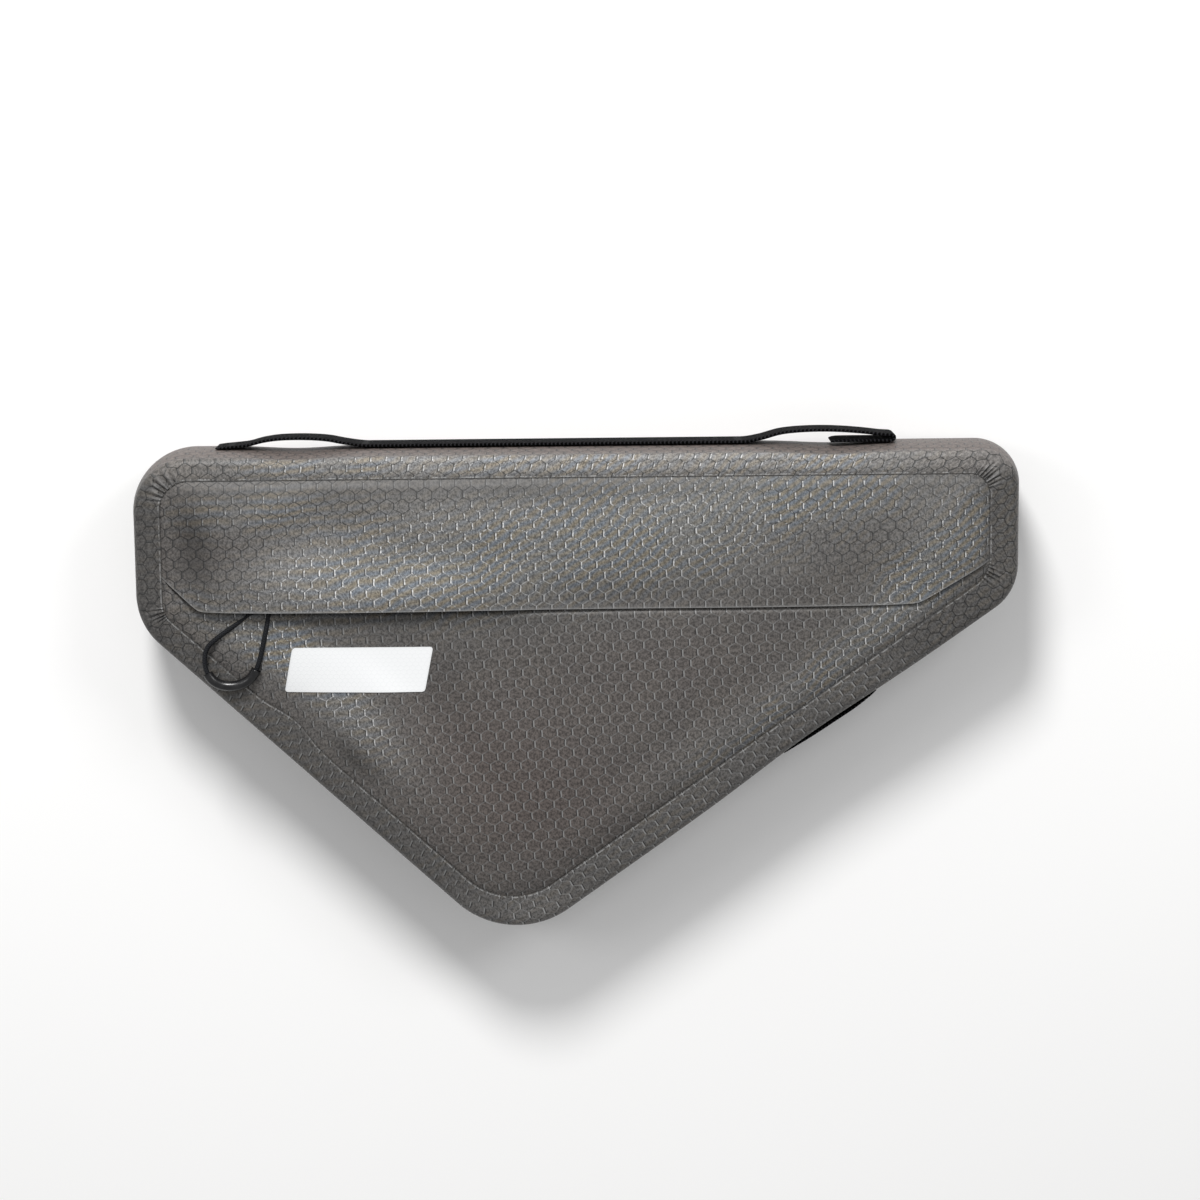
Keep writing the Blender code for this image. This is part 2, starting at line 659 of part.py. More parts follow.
def make_zip_slider(material):
    """Small plain slider behind the flap."""
    low = FRONT_PANEL_TOP + SLIDER_CLEARANCE
    place = SLIDER_MARGIN - HALF_LENGTH
    across = np.linspace(-0.5, 0.5, 5) * SLIDER_WIDTH + place
    up = np.linspace(low, low + SLIDER_LENGTH, 3)
    x, y = np.meshgrid(across, up)
    seat = float(tape_top(x, y).max()) + GAP
    work = bmesh.new()
    bmesh.ops.create_cube(work, size=1.0)
    bmesh.ops.scale(work, vec=(SLIDER_WIDTH, SLIDER_LENGTH, SLIDER_THICKNESS), verts=work.verts)
    middle = (place, low + SLIDER_LENGTH / 2, seat + SLIDER_THICKNESS / 2)
    bmesh.ops.translate(work, vec=middle, verts=work.verts)
    bmesh.ops.bevel(work, geom=work.edges[:], offset=SLIDER_BEVEL, segments=1, affect="EDGES")
    mesh = bpy.data.meshes.new("zip_slider")
    work.to_mesh(mesh)
    work.free()
    mesh.materials.append(material)
    piece = bpy.data.objects.new("zip_slider", mesh)
    bpy.context.collection.objects.link(piece)
    return piece


def cord_route():
    """Route points of the zip pull's cord."""
    along, down, above = np.array(CORD_ROWS).T
    return np.column_stack([
        SLIDER_MARGIN - HALF_LENGTH + along * PULL_LENGTH,
        FRONT_PANEL_TOP - down * PULL_LENGTH,
        BAG_DEPTH + above * FRONT_CROWN,
    ])


def make_zip_pull_cord(material):
    """Loop of thin cord that pulls the slider."""
    curve = bpy.data.curves.new("zip_pull_cord", "CURVE")
    curve.dimensions = "3D"
    curve.bevel_depth = CORD_DIAMETER / 2
    curve.bevel_resolution = 2
    curve.use_fill_caps = True
    points = smooth_curve(cord_route(), CORD_POINTS)
    spline = curve.splines.new("POLY")
    spline.points.add(len(points) - 1)
    for target, point in zip(spline.points, points):
        target.co = (*point, 1.0)
    curve.materials.append(material)
    piece = bpy.data.objects.new("zip_pull_cord", curve)
    bpy.context.collection.objects.link(piece)
    return piece


def make_zip_pull_sleeve(material):
    """Bent tube on the cord's loop: rings round the cord's own points, outer and inner wall."""
    points = smooth_curve(cord_route(), CORD_POINTS)
    tangent = np.gradient(points, axis=0)[SLEEVE_FIRST:SLEEVE_LAST + 1]
    tangent = tangent / np.linalg.norm(tangent, axis=1)[:, None]
    points = points[SLEEVE_FIRST:SLEEVE_LAST + 1]
    sideways = np.cross(tangent, (0.0, 0.0, 1.0))
    sideways = sideways / np.linalg.norm(sideways, axis=1)[:, None]
    upwards = np.cross(sideways, tangent)
    angles = np.arange(SLEEVE_SIDES) * 2 * math.pi / SLEEVE_SIDES
    spokes = np.cos(angles)[None, :, None] * sideways[:, None] + np.sin(angles)[None, :, None] * upwards[:, None]
    bore = CORD_DIAMETER / 2 + GAP
    outer = points[:, None] + spokes * SLEEVE_DIAMETER / 2
    inner = points[:, None] + spokes * bore / math.cos(math.pi / SLEEVE_SIDES)
    rings = np.concatenate([outer, inner[::-1]])
    return ring_of_sections("zip_pull_sleeve", rings, material, closed=True)


def ribbon(name, path, material):
    """Flat webbing along a path in x and y, standing on its edge round the bag's middle depth."""
    tangent = np.gradient(path, axis=0)
    tangent = tangent / np.linalg.norm(tangent, axis=1)[:, None]
    normal = np.column_stack([-tangent[:, 1], tangent[:, 0]]) * WEBBING_THICKNESS / 2
    low = (BAG_DEPTH - WEBBING_WIDTH) / 2
    high = low + WEBBING_WIDTH
    sections = np.empty((len(path), 4, 3))
    for index, (side, height) in enumerate(((1, low), (1, high), (-1, high), (-1, low))):
        sections[:, index, :2] = path + side * normal
        sections[:, index, 2] = height
    return ring_of_sections(name, sections, material, closed=False)


def make_top_webbing(material):
    """Webbing on the top edge in three lengths: a raised loop, the flat stretch, and the other
    loop, whose end is folded under."""
    seat = CREST + GAP + WEBBING_THICKNESS / 2
    points = []
    for rows, rise in (
        (WEBBING_LEFT_ROWS, LEFT_LOOP_RISE),
        (WEBBING_FLAT_ROWS, 0.0),
        (WEBBING_RIGHT_ROWS, RIGHT_LOOP_RISE),
    ):
        points += [(share * HALF_LENGTH, seat + height * rise) for share, height in rows]
    path = smooth_curve(points, 110)
    half_gap = np.array([GAP / 2, 0.0])
    for name, share in (("top_webbing_left_loop", LEFT_LOOP_END), ("top_webbing", RIGHT_LOOP_START)):
        index = int(np.argmax(path[:, 0] > share * HALF_LENGTH))
        cut = (path[index - 1] + path[index]) / 2
        ribbon(name, np.vstack([path[:index], cut - half_gap]), material)
        path = np.vstack([cut + half_gap, path[index:]])
    ribbon("top_webbing_right_loop", path, material)


def make_lower_strap(material):
    """Short strap that lies on the band's lower right edge."""
    start = CORNERS[LOWER_RIGHT_EDGE]
    edge = CORNERS[LOWER_LEFT_EDGE] - start
    outward = -inward(edge / np.linalg.norm(edge))
    seat = GAP + WEBBING_THICKNESS / 2
    points = [
        start + edge * share + outward * (seat + height * STRAP_BULGE - strap_dip(share))
        for share, height in STRAP_ROWS
    ]
    return ribbon("lower_strap", smooth_curve(points, 16), material)


def make_reflective_patch(material):
    """Thin plain patch on the front panel: a leaning rectangle with rounded corners."""
    up = np.array(PATCH_ROWS) * PATCH_HEIGHT
    into_arc = np.clip(np.abs(up) - (PATCH_HEIGHT / 2 - PATCH_RADIUS), 0.0, PATCH_RADIUS)
    half = PATCH_LENGTH / 2 - PATCH_RADIUS + np.sqrt(PATCH_RADIUS**2 - into_arc**2)
    middle = PATCH_MARGIN - HALF_LENGTH + PATCH_LEAN * up
    x = middle[:, None] + np.linspace(-1.0, 1.0, 11)[None, :] * half[:, None]
    y = np.repeat((CREST - PATCH_DROP + up)[:, None], x.shape[1], axis=1)
    low = front_height(x, y) - LAYER + GAP
    return sheet_between(
        "reflective_patch", np.dstack([x, y, low + PATCH_THICKNESS]), np.dstack([x, y, low]), material)


def main():
    """Build every piece of the bag."""
    clear_scene()
    cloth = make_material("coated_cloth", CLOTH_GREY, 0.42)
    webbing = make_material("webbing", WEBBING_BLACK, 0.72)
    zip_dark = make_material("zip_black", ZIP_BLACK, 0.50)
    cord = make_material("cord_black", WEBBING_BLACK, 0.62)
    sleeve = make_material("sleeve_rubber", ZIP_BLACK, 0.28)
    patch = make_material("patch_white", PATCH_WHITE, 0.45)
    make_gusset_band(cloth)
    make_front_panel(cloth)
    make_rain_flap(cloth)
    make_back_panel(cloth)
    make_zip_tape(zip_dark)
    make_zip_slider(zip_dark)
    make_zip_pull_cord(cord)
    make_zip_pull_sleeve(sleeve)
    make_top_webbing(webbing)
    make_lower_strap(webbing)
    make_reflective_patch(patch)


main()
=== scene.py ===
"""Looks of the bicycle frame bag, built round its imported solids.

Frame: metres. +X runs to the bag's right end, +Y to its webbed top edge and +Z out of its
front panel. The bag lies on its back panel on the floor at z = 0.
"""

import math

import bpy
import numpy as np
from mathutils import Matrix, Vector


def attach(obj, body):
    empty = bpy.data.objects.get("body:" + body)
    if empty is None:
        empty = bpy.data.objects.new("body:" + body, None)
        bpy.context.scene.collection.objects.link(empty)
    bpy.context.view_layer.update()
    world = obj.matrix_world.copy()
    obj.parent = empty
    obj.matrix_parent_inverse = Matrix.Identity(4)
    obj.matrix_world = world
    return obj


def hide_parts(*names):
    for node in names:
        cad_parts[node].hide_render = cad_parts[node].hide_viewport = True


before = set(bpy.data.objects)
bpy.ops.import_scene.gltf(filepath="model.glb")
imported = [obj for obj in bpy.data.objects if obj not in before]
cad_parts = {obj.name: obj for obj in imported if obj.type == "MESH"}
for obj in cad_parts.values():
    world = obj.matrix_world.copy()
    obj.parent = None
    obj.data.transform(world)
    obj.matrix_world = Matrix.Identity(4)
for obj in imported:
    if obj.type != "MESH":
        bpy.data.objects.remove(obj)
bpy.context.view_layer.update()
MM = 0.001
TINY = 1e-6

# Outline, as in the solids
BAG_LENGTH = 0.4410
LEFT_SIDE = 0.0863
RIGHT_SIDE = 0.0748
EDGE_MEETING_DROP = 0.2567
TIP_OFFSET = -0.0355
OUTER_RADII = (0.030, 0.020, 0.028, 0.0465, 0.035)
SOLID_ARCS = (8, 8, 6, 8, 6)
CORNER_ROOM = 0.48       # largest share of an edge that a corner's arc takes
BAG_DEPTH = 0.057
GAP = 0.0003
BORDERS = (0.0134, 0.0170, 0.0187, 0.0160, 0.0160)
BORDER_RADII = (0.014, 0.010, 0.016, 0.034, 0.012)
BORDER_BOW = 0.0035
BORDER_BOW_REACH = 0.018
BOW_SHARE = 0.60
FRONT_CROWN = 0.0072
CROWN_RISE = 0.017
DENT_EDGE = 0.006
FLAP_DROP = 0.0775
FLAP_LEFT_RUN = 0.020
FLAP_LEFT_RISE = 0.018
FLAP_RIGHT_RUN = 0.038
FLAP_RIGHT_RISE = 0.023
FLAP_TURN_START = 0.09   # the edge's turn begins at this share of its run
FLAP_TURN_EASE = 0.078
FLAP_LIFT = 0.0050
FLAP_LIFT_REACH = 0.034
FRONT_PANEL_RISE = 0.0051
SLIDER_MARGIN = 0.0676
PULL_LENGTH = 0.0430
CORD_DIAMETER = 0.0024
SLEEVE_DIAMETER = 0.0050
WEBBING_WIDTH = 0.020
WEBBING_THICKNESS = 0.0017
LEFT_LOOP_RISE = 0.0038
RIGHT_LOOP_RISE = 0.0052
CREST_DIP = 0.0014
CREST_DIP_REACH = 0.020
STRAP_BULGE = 0.0010
STRAP_DIP = 0.0020
STRAP_DIP_REACH = 0.045
STRAP_DIP_SHARE = 0.40
PATCH_LENGTH = 0.0695
PATCH_HEIGHT = 0.0226
PATCH_THICKNESS = 0.0004
PATCH_RADIUS = 0.0016
PATCH_LEAN = 0.20
PATCH_MARGIN = 0.1125
PATCH_DROP = 0.1070
ZIP_DROP = 0.0689

# Cloth, as it shows
CLOTH = 0.0008
LIP = 0.0006
SEAM_STEP = 0.0005
SEAM_REACH = 0.0011
TUCK = 0.0030            # the panels run this far under the lip
TUCK_FALL = 0.12         # and fall by this share of it

# Columns: place by half lengths from the middle, share of the flap's lift
LIFT_ROWS = (
    (-0.95, 0), (-0.85, 0.55), (-0.76, 0.75), (-0.66, 0.95), (-0.52, 1), (-0.36, 0.86),
    (-0.2, 0.5), (-0.05, 0.16), (0.1, 0.08), (0.7, 0.08), (0.82, 0.2), (0.9, 0.18), (0.98, 0),
)
# Columns: place by half lengths, drop by EDGE_MEETING_DROP, two reaches by LEFT_SIDE, depth by
# FRONT_CROWN, turn in degrees
DENT_ROWS = (
    (-0.88, 0.205, 0.16, 0.42, 0.42, 6), (-0.52, 0.61, 0.46, 0.13, 0.34, -43),
    (-0.12, 0.47, 0.75, 0.3, 0.16, -8), (0.3, 0.2, 0.7, 0.2, 0.14, 12),
    (-0.42, 0.17, 0.6, 0.18, 0.18, -14), (0.8, 0.27, 0.28, 0.22, 0.18, 30),
    (-0.16, 0.8, 0.3, 0.16, 0.14, 15),
)
# Columns: place by half lengths, height by the loop's rise
WEBBING_LEFT_ROWS = (
    (-0.81, 0), (-0.775, 0), (-0.74, 0.16), (-0.705, 0.66), (-0.665, 0.96), (-0.61, 1),
    (-0.56, 0.8), (-0.52, 0.36), (-0.48, 0.04),
)
WEBBING_FLAT_ROWS = (
    (-0.44, 0), (-0.25, 0), (0, 0), (0.2, 0), (0.35, 0),
)
WEBBING_RIGHT_ROWS = (
    (0.385, 0.03), (0.42, 0.3), (0.465, 0.8), (0.52, 1), (0.58, 1), (0.64, 0.82), (0.69, 0.57),
    (0.712, 0.5), (0.7185, 0.25), (0.712, 0), (0.69, 0), (0.64, 0), (0.575, 0),
)
BAR_TACKS = (-0.775, -0.470, 0.370)
# Columns: share of the lower right edge, height by the bulge
STRAP_ROWS = (
    (0.276, 0.1), (0.29, 0.55), (0.32, 1), (0.36, 0.85), (0.4, 0.7), (0.435, 0.25), (0.455, 0),
)
STRAP_TACKS = (0.006, 0.050)
# Columns: right and down from the slider by pull lengths, height by FRONT_CROWN
CORD_ROWS = (
    (-0.037, -0.002, 0.694), (-0.081, 0.073, 0.681), (-0.193, 0.156, 0.667),
    (-0.333, 0.254, 0.639), (-0.486, 0.363, 0.583), (-0.616, 0.463, 0.5), (-0.695, 0.549, 0.431),
    (-0.728, 0.659, 0.417), (-0.719, 0.794, 0.417), (-0.651, 0.917, 0.417), (-0.542, 0.98, 0.417),
    (-0.428, 0.994, 0.417), (-0.309, 0.97, 0.431), (-0.2, 0.898, 0.5), (-0.128, 0.784, 0.653),
    (-0.084, 0.659, 0.736), (-0.049, 0.514, 0.778), (-0.007, 0.335, 0.819), (0.026, 0.161, 0.764),
    (0.035, -0.002, 0.722),
)

TOP_EDGE, RIGHT_EDGE, LOWER_RIGHT_EDGE, LOWER_LEFT_EDGE, LEFT_EDGE = range(5)
HALF_LENGTH = BAG_LENGTH / 2

# Camera: at the photo's low angle, its roll included
CAMERA_TARGET = (0.0114, 0.0442, 0.0600)
CAMERA_ELEVATION = 9.5
CAMERA_DISTANCE = 1.500
CAMERA_ROLL = 0.6
CAMERA_LENS = 91.35
CAMERA_SENSOR = 36.0


def make_camera():
    """Camera that looks down at the front, tipped towards the top edge by its elevation."""
    data = bpy.data.cameras.new("camera")
    data.lens = CAMERA_LENS
    data.sensor_width = CAMERA_SENSOR
    camera = bpy.data.objects.new("camera", data)
    tilt = Matrix.Rotation(-math.radians(CAMERA_ELEVATION), 4, "X")
    roll = Matrix.Rotation(-math.radians(CAMERA_ROLL), 4, "Z")
    back = Matrix.Translation((0.0, 0.0, CAMERA_DISTANCE))
    camera.matrix_world = Matrix.Translation(CAMERA_TARGET) @ tilt @ roll @ back
    bpy.context.collection.objects.link(camera)
    bpy.context.scene.camera = camera


make_camera()


def smooth(value, low, high):
    """0 below low, 1 above high, and an even ease between them."""
    share = np.clip((value - low) / (high - low), 0, 1)
    return share * share * (3 - 2 * share)


def eased_table(rows, value):
    """Second column of a table at a value of the first, with an ease between its rows."""
    table = np.array(rows)
    result = np.full(np.shape(value), table[0, 1])
    for low, high in zip(table[:-1], table[1:]):
        result = result + (high[1] - low[1]) * smooth(value, low[0], high[0])
    return result


def unit(vectors):
    """Vectors at length one, along the last axis."""
    return vectors / np.linalg.norm(vectors, axis=-1, keepdims=True)


def run_length(points):
    """Length along a line of points, from its first."""
    return np.concatenate([[0], np.cumsum(np.linalg.norm(np.diff(points, axis=0), axis=1))])


def along_run(points, reach, run):
    """Points given at each reach, at other places along the run."""
    return np.column_stack([np.interp(run, reach, column) for column in points.T])


CURVE_STEPS = 24


def smooth_curve(points, count):
    """Evenly spaced points on a Catmull-Rom curve through the given ones."""
    knots = np.array(points, dtype=float)
    padded = np.vstack([2 * knots[0] - knots[1], knots, 2 * knots[-1] - knots[-2]])
    steps = np.linspace(0, 1, CURVE_STEPS, endpoint=False)[:, None]
    pieces = []
    for a, b, c, d in zip(padded[:-3], padded[1:-2], padded[2:-1], padded[3:]):
        cubic = -a + 3 * b - 3 * c + d
        square = 2 * a - 5 * b + 4 * c - d
        pieces.append(0.5 * (2 * b + (c - a) * steps + square * steps**2 + cubic * steps**3))
    dense = np.vstack([*pieces, knots[-1:]])
    reach = run_length(dense)
    return along_run(dense, reach, np.linspace(0, reach[-1], count))


def inward(direction):
    """The inner side of a clockwise outline's edge."""
    return np.array([direction[1], -direction[0]])


def edge_pairs(corners):
    """The edges before and after each corner of an outline."""
    edges = np.roll(corners, -1, axis=0) - corners
    return np.stack([np.roll(edges, 1, axis=0), edges], axis=1)


def inset_corners(corners, insets):
    """Move each side of an outline inwards by its own inset and meet the sides again."""
    moved = []
    for index, (before, after) in enumerate(unit(edge_pairs(corners))):
        start = corners[index] + inward(before) * insets[index - 1]
        end = corners[index] + inward(after) * insets[index]
        along = np.linalg.solve(np.column_stack([before, -after]), end - start)[0]
        moved.append(start + before * along)
    return np.array(moved)


def rounded_loop(corners, radii, arc_steps, side_steps):
    """Points round a clockwise outline: an arc at each corner, then its side in even steps.

    Returns the points, the side of each and its share along that side, negative on an arc.
    """
    arcs = []
    for index, edges in enumerate(edge_pairs(corners)):
        room = CORNER_ROOM * np.linalg.norm(edges, axis=1).min()
        before, after = unit(edges)
        turn = math.acos(np.clip(before @ after, -1, 1))
        radius = min(radii[index], room / math.tan(turn / 2))
        start = corners[index] - before * radius * math.tan(turn / 2)
        spoke = -inward(before) * radius
        angles = np.linspace(0, -turn, arc_steps[index] + 1)[:, None]
        arcs.append(start - spoke + spoke * np.cos(angles) - inward(spoke) * np.sin(angles))
    points, sides, shares = [], [], []
    for index, arc in enumerate(arcs):
        reach = arcs[(index + 1) % len(arcs)][0] - arc[-1]
        run = np.arange(1, side_steps[index]) / side_steps[index]
        points += [arc, arc[-1] + reach * run[:, None]]
        sides += [index] * (len(arc) + len(run))
        shares += [np.linspace(-1, 0, len(arc)), run]
    return np.vstack(points), np.array(sides), np.concatenate(shares)


FINE_ARCS = (48, 40, 40, 48, 44)
FINE_SIDES = (170, 30, 100, 118, 32)
COARSE_ARCS = (10, 8, 8, 10, 8)
COARSE_SIDES = (16, 3, 12, 24, 3)


def sharp_corners(crest):
    """Where the five straight edges meet, clockwise from the top left."""
    return np.array([
        (-HALF_LENGTH, crest),
        (HALF_LENGTH, crest),
        (HALF_LENGTH, crest - RIGHT_SIDE),
        (TIP_OFFSET, crest - EDGE_MEETING_DROP),
        (-HALF_LENGTH, crest - LEFT_SIDE),
    ])


HIGHEST = GAP + WEBBING_THICKNESS + RIGHT_LOOP_RISE
LOWEST = rounded_loop(sharp_corners(0), OUTER_RADII, SOLID_ARCS, COARSE_SIDES)[0][:, 1].min()
CREST = -(LOWEST + HIGHEST) / 2
CORNERS = sharp_corners(CREST)
FLAP_EDGE = CREST - FLAP_DROP
FLAP_ENDS = FLAP_EDGE + (FLAP_LEFT_RISE + FLAP_RIGHT_RISE) / 2
FRONT_PANEL_TOP = FLAP_EDGE + FRONT_PANEL_RISE


def edge_from(side):
    """A side's first corner and its run to the next one."""
    return CORNERS[side], CORNERS[(side + 1) % len(CORNERS)] - CORNERS[side]


def strap_dip(share):
    """How far the band is pressed in at a share of the lower right edge, corner to corner."""
    away = (share - STRAP_DIP_SHARE) * np.linalg.norm(edge_from(LOWER_RIGHT_EDGE)[1])
    return STRAP_DIP * np.exp(-(away / STRAP_DIP_REACH) ** 2)


def outer_loop():
    """Crest of the side band, with shallow dips under the webbing loops and the strap."""
    points, sides, shares = rounded_loop(CORNERS, OUTER_RADII, FINE_ARCS, FINE_SIDES)
    start, edge = edge_from(LOWER_RIGHT_EDGE)
    pressed = strap_dip((points - start) @ edge / (edge @ edge)) * (sides == LOWER_RIGHT_EDGE)
    points = points + pressed[:, None] * inward(unit(edge))
    for rows in (WEBBING_LEFT_ROWS, WEBBING_RIGHT_ROWS):
        raised = [place for place, height in rows if height > 0.5]
        middle = HALF_LENGTH * (min(raised) + max(raised)) / 2
        dip = CREST_DIP * np.exp(-((points[:, 0] - middle) / CREST_DIP_REACH) ** 2)
        points[:, 1] -= np.where(sides == TOP_EDGE, dip, 0)
    return points, sides, shares


def border_loop(arc_steps, side_steps, grow=0):
    """Weld line round the front: the inner edge of the band's lip, or that line grown outwards."""
    corners = inset_corners(CORNERS, [border - grow for border in BORDERS])
    radii = [radius + grow for radius in BORDER_RADII]
    points, sides, shares = rounded_loop(corners, radii, arc_steps, side_steps)
    edge = edge_from(LOWER_LEFT_EDGE)[1]
    away = (shares - BOW_SHARE) * np.linalg.norm(edge) / BORDER_BOW_REACH
    bow = BORDER_BOW * np.exp(-away**2) * (sides == LOWER_LEFT_EDGE) * (shares > 0)
    return points + bow[:, None] * inward(unit(edge))


BORDER = border_loop(COARSE_ARCS, COARSE_SIDES)
TUCKED = border_loop(COARSE_ARCS, COARSE_SIDES, grow=TUCK)


def depth_inside(x, y):
    """Signed distance to the weld line: positive inside it, negative on the border."""
    edge = np.roll(BORDER, -1, axis=0) - BORDER
    away_x, away_y = x[..., None] - BORDER[:, 0], y[..., None] - BORDER[:, 1]
    share = (away_x * edge[:, 0] + away_y * edge[:, 1]) / np.sum(edge * edge, axis=1)
    rest_x = away_x - np.clip(share, 0, 1) * edge[:, 0]
    rest_y = away_y - np.clip(share, 0, 1) * edge[:, 1]
    side = np.where(rest_x * edge[:, 1] >= rest_y * edge[:, 0], 1, -1)
    distance = np.hypot(rest_x, rest_y)
    nearest = distance.argmin(axis=-1)[..., None]
    return np.take_along_axis(side * distance, nearest, axis=-1)[..., 0]


# Soft unevenness of the front. Columns: x, y, reach along, reach across, height, all in
# millimetres, and turn in degrees
FOLD_ROWS = (
    (-40, 78, 90, 12, 0.7, 4), (85, 83, 60, 9, -0.6, 8), (120, 60, 50, 10, 0.6, 20),
    (165, 72, 30, 10, 0.7, 40), (178, 52, 30, 7, -0.6, 42), (-150, 88, 26, 8, 0.8, 30),
    (-125, 62, 45, 10, 1, 14), (-78, -22, 52, 10, 1.2, -52), (-52, -40, 45, 8, -0.7, -50),
    (90, -18, 70, 11, 0.8, 36), (40, -30, 60, 9, -0.6, 38), (0, -75, 40, 10, 0.6, 30),
    (-110, 20, 30, 10, -0.6, -38),
)


def bells(rows, x, y, measure=MM):
    """Sum of turned bell shapes, one a row, whose places and reaches are given by measure."""
    total = np.zeros(np.shape(x))
    for middle_x, middle_y, reach_along, reach_across, height, turn in rows:
        cosine, sine = math.cos(math.radians(turn)), math.sin(math.radians(turn))
        right, up = x - middle_x * measure, y - middle_y * measure
        run = (right * cosine + up * sine) / (reach_along * measure)
        side = (up * cosine - right * sine) / (reach_across * measure)
        total = total + height * np.exp(-(run**2) - side**2)
    return total


DENT_UNITS = (HALF_LENGTH, -EDGE_MEETING_DROP, LEFT_SIDE, LEFT_SIDE, -FRONT_CROWN, 1)


def front_height(x, y):
    """Height of the front: tucked under the lip, crowned, dented and uneven inside it.

    Returns the height and the depth inside the weld line.
    """
    inside = depth_inside(x, y)
    within = np.maximum(inside, 0)
    dents = DENT_ROWS * np.array(DENT_UNITS) + (0, CREST, 0, 0, 0, 0)
    height = FRONT_CROWN * (1 - np.exp(-within / CROWN_RISE))
    uneven = bells(dents, x, y, 1) + bells(FOLD_ROWS, x, y) * MM
    height = height + uneven * (1 - np.exp(-within / DENT_EDGE))
    seam = -SEAM_STEP * np.exp(-within / SEAM_REACH) + TUCK_FALL * np.minimum(inside, 0)
    return BAG_DEPTH + height + seam, inside


def span_at(loop, height):
    """Leftmost and rightmost x of a closed outline at one height."""
    height = np.clip(height, loop[:, 1].min() + TINY, loop[:, 1].max() - TINY)
    following = np.roll(loop, -1, axis=0)
    crossing = (loop[:, 1] - height) * (following[:, 1] - height) <= 0
    start, run = loop[crossing], (following - loop)[crossing]
    rise = np.where(np.abs(run[:, 1]) < TINY**2, TINY**2, run[:, 1])
    across = start[:, 0] + np.clip((height - start[:, 1]) / rise, 0, 1) * run[:, 0]
    return across.min(), across.max()


def flap_edge_height(x):
    """Free edge of the flap, which turns up softly to the border at each end."""
    left, right = span_at(BORDER, FLAP_ENDS)
    height = FLAP_EDGE
    for past, run, rise in (
        (left - x, FLAP_LEFT_RUN, FLAP_LEFT_RISE),
        (x - right, FLAP_RIGHT_RUN, FLAP_RIGHT_RISE),
    ):
        into = np.minimum(past / run + 1, 1) - FLAP_TURN_START
        height = height + rise * (into + np.hypot(into, FLAP_TURN_EASE)) / 2
    return height


SHARP_ANGLE = 40


def new_piece(name, vertices, faces, slot, uv, marks=None):
    """One mesh object at the origin from whole arrays, with its UV map and point attributes.

    uv gives two numbers a vertex, or two a face corner; marks is name to one number a vertex.
    """
    mesh = bpy.data.meshes.new(name)
    vertices = np.asarray(vertices, dtype=np.float32).reshape(-1, 3)
    mesh.vertices.add(len(vertices))
    mesh.vertices.foreach_set("co", vertices.ravel())
    corners = np.concatenate([np.asarray(group, dtype=np.int32).ravel() for group in faces])
    sizes = np.concatenate([np.full(len(group), np.shape(group)[1]) for group in faces])
    starts = np.concatenate([[0], np.cumsum(sizes)[:-1]]).astype(np.int32)
    mesh.loops.add(len(corners))
    mesh.loops.foreach_set("vertex_index", corners)
    mesh.polygons.add(len(sizes))
    mesh.polygons.foreach_set("loop_start", starts)
    uv = np.asarray(uv, dtype=np.float32).reshape(-1, 2)
    uv = uv if len(uv) == len(corners) else uv[corners]
    mesh.uv_layers.new(name="cloth").data.foreach_set("uv", uv.ravel())
    for key, values in (marks or {}).items():
        attribute = mesh.attributes.new(name=key, type="FLOAT", domain="POINT")
        attribute.data.foreach_set("value", np.asarray(values, dtype=np.float32).ravel())
    mesh.update(calc_edges=True)
    mesh.validate()
    mesh.shade_smooth()
    mesh.set_sharp_from_angle(angle=math.radians(SHARP_ANGLE))
    mesh.materials.append(MATERIALS[slot])
    piece = bpy.data.objects.new(name, mesh)
    bpy.context.collection.objects.link(piece)
    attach(piece, "root")
    return piece


def grid_quads(rows, columns, wrap_rows=False, wrap_columns=False):
    """Faces of a grid of numbered points, row by row."""
    number = np.arange(rows * columns).reshape(rows, columns)
    if wrap_rows:
        number = np.vstack([number, number[:1]])
    if wrap_columns:
        number = np.hstack([number, number[:, :1]])
    corners = [number[:-1, :-1], number[:-1, 1:], number[1:, 1:], number[1:, :-1]]
    return np.stack(corners, axis=-1).reshape(-1, 4)


def wall(x, y, top, low):
    """Vertices and faces of a closed wall: a grid at z = top, the same at z = low, and the rim."""
    vertices = np.concatenate([np.dstack([x, y, z]).reshape(-1, 3) for z in (top, low)])
    number = np.arange(x.size).reshape(x.shape)
    upper = grid_quads(*x.shape)
    rim = np.concatenate([number[0, :-1], number[:-1, -1], number[-1, :0:-1], number[:0:-1, 0]])
    ahead = np.roll(rim, -1)
    side = np.stack([ahead, rim, rim + x.size, ahead + x.size], axis=-1)
    return vertices, [np.vstack([upper, upper[:, ::-1] + x.size, side])]


def cloth_sheet(name, x, y, top, inside, rim, weave_turn):
    """Closed cloth wall under the surface z = top(x, y).

    Its UV map is x and y in millimetres, turned by the weave's turn in degrees.
    """
    vertices, faces = wall(x, y, top, top - CLOTH)
    marks = cloth_marks(x, y, inside, rim)
    both = {key: np.tile(value.ravel(), 2) for key, value in marks.items()}
    cosine, sine = math.cos(math.radians(weave_turn)), math.sin(math.radians(weave_turn))
    uv = vertices[:, :2] @ np.array([[cosine, -sine], [sine, cosine]]) / MM
    return new_piece(name, vertices, faces, "coated_cloth", uv, both)


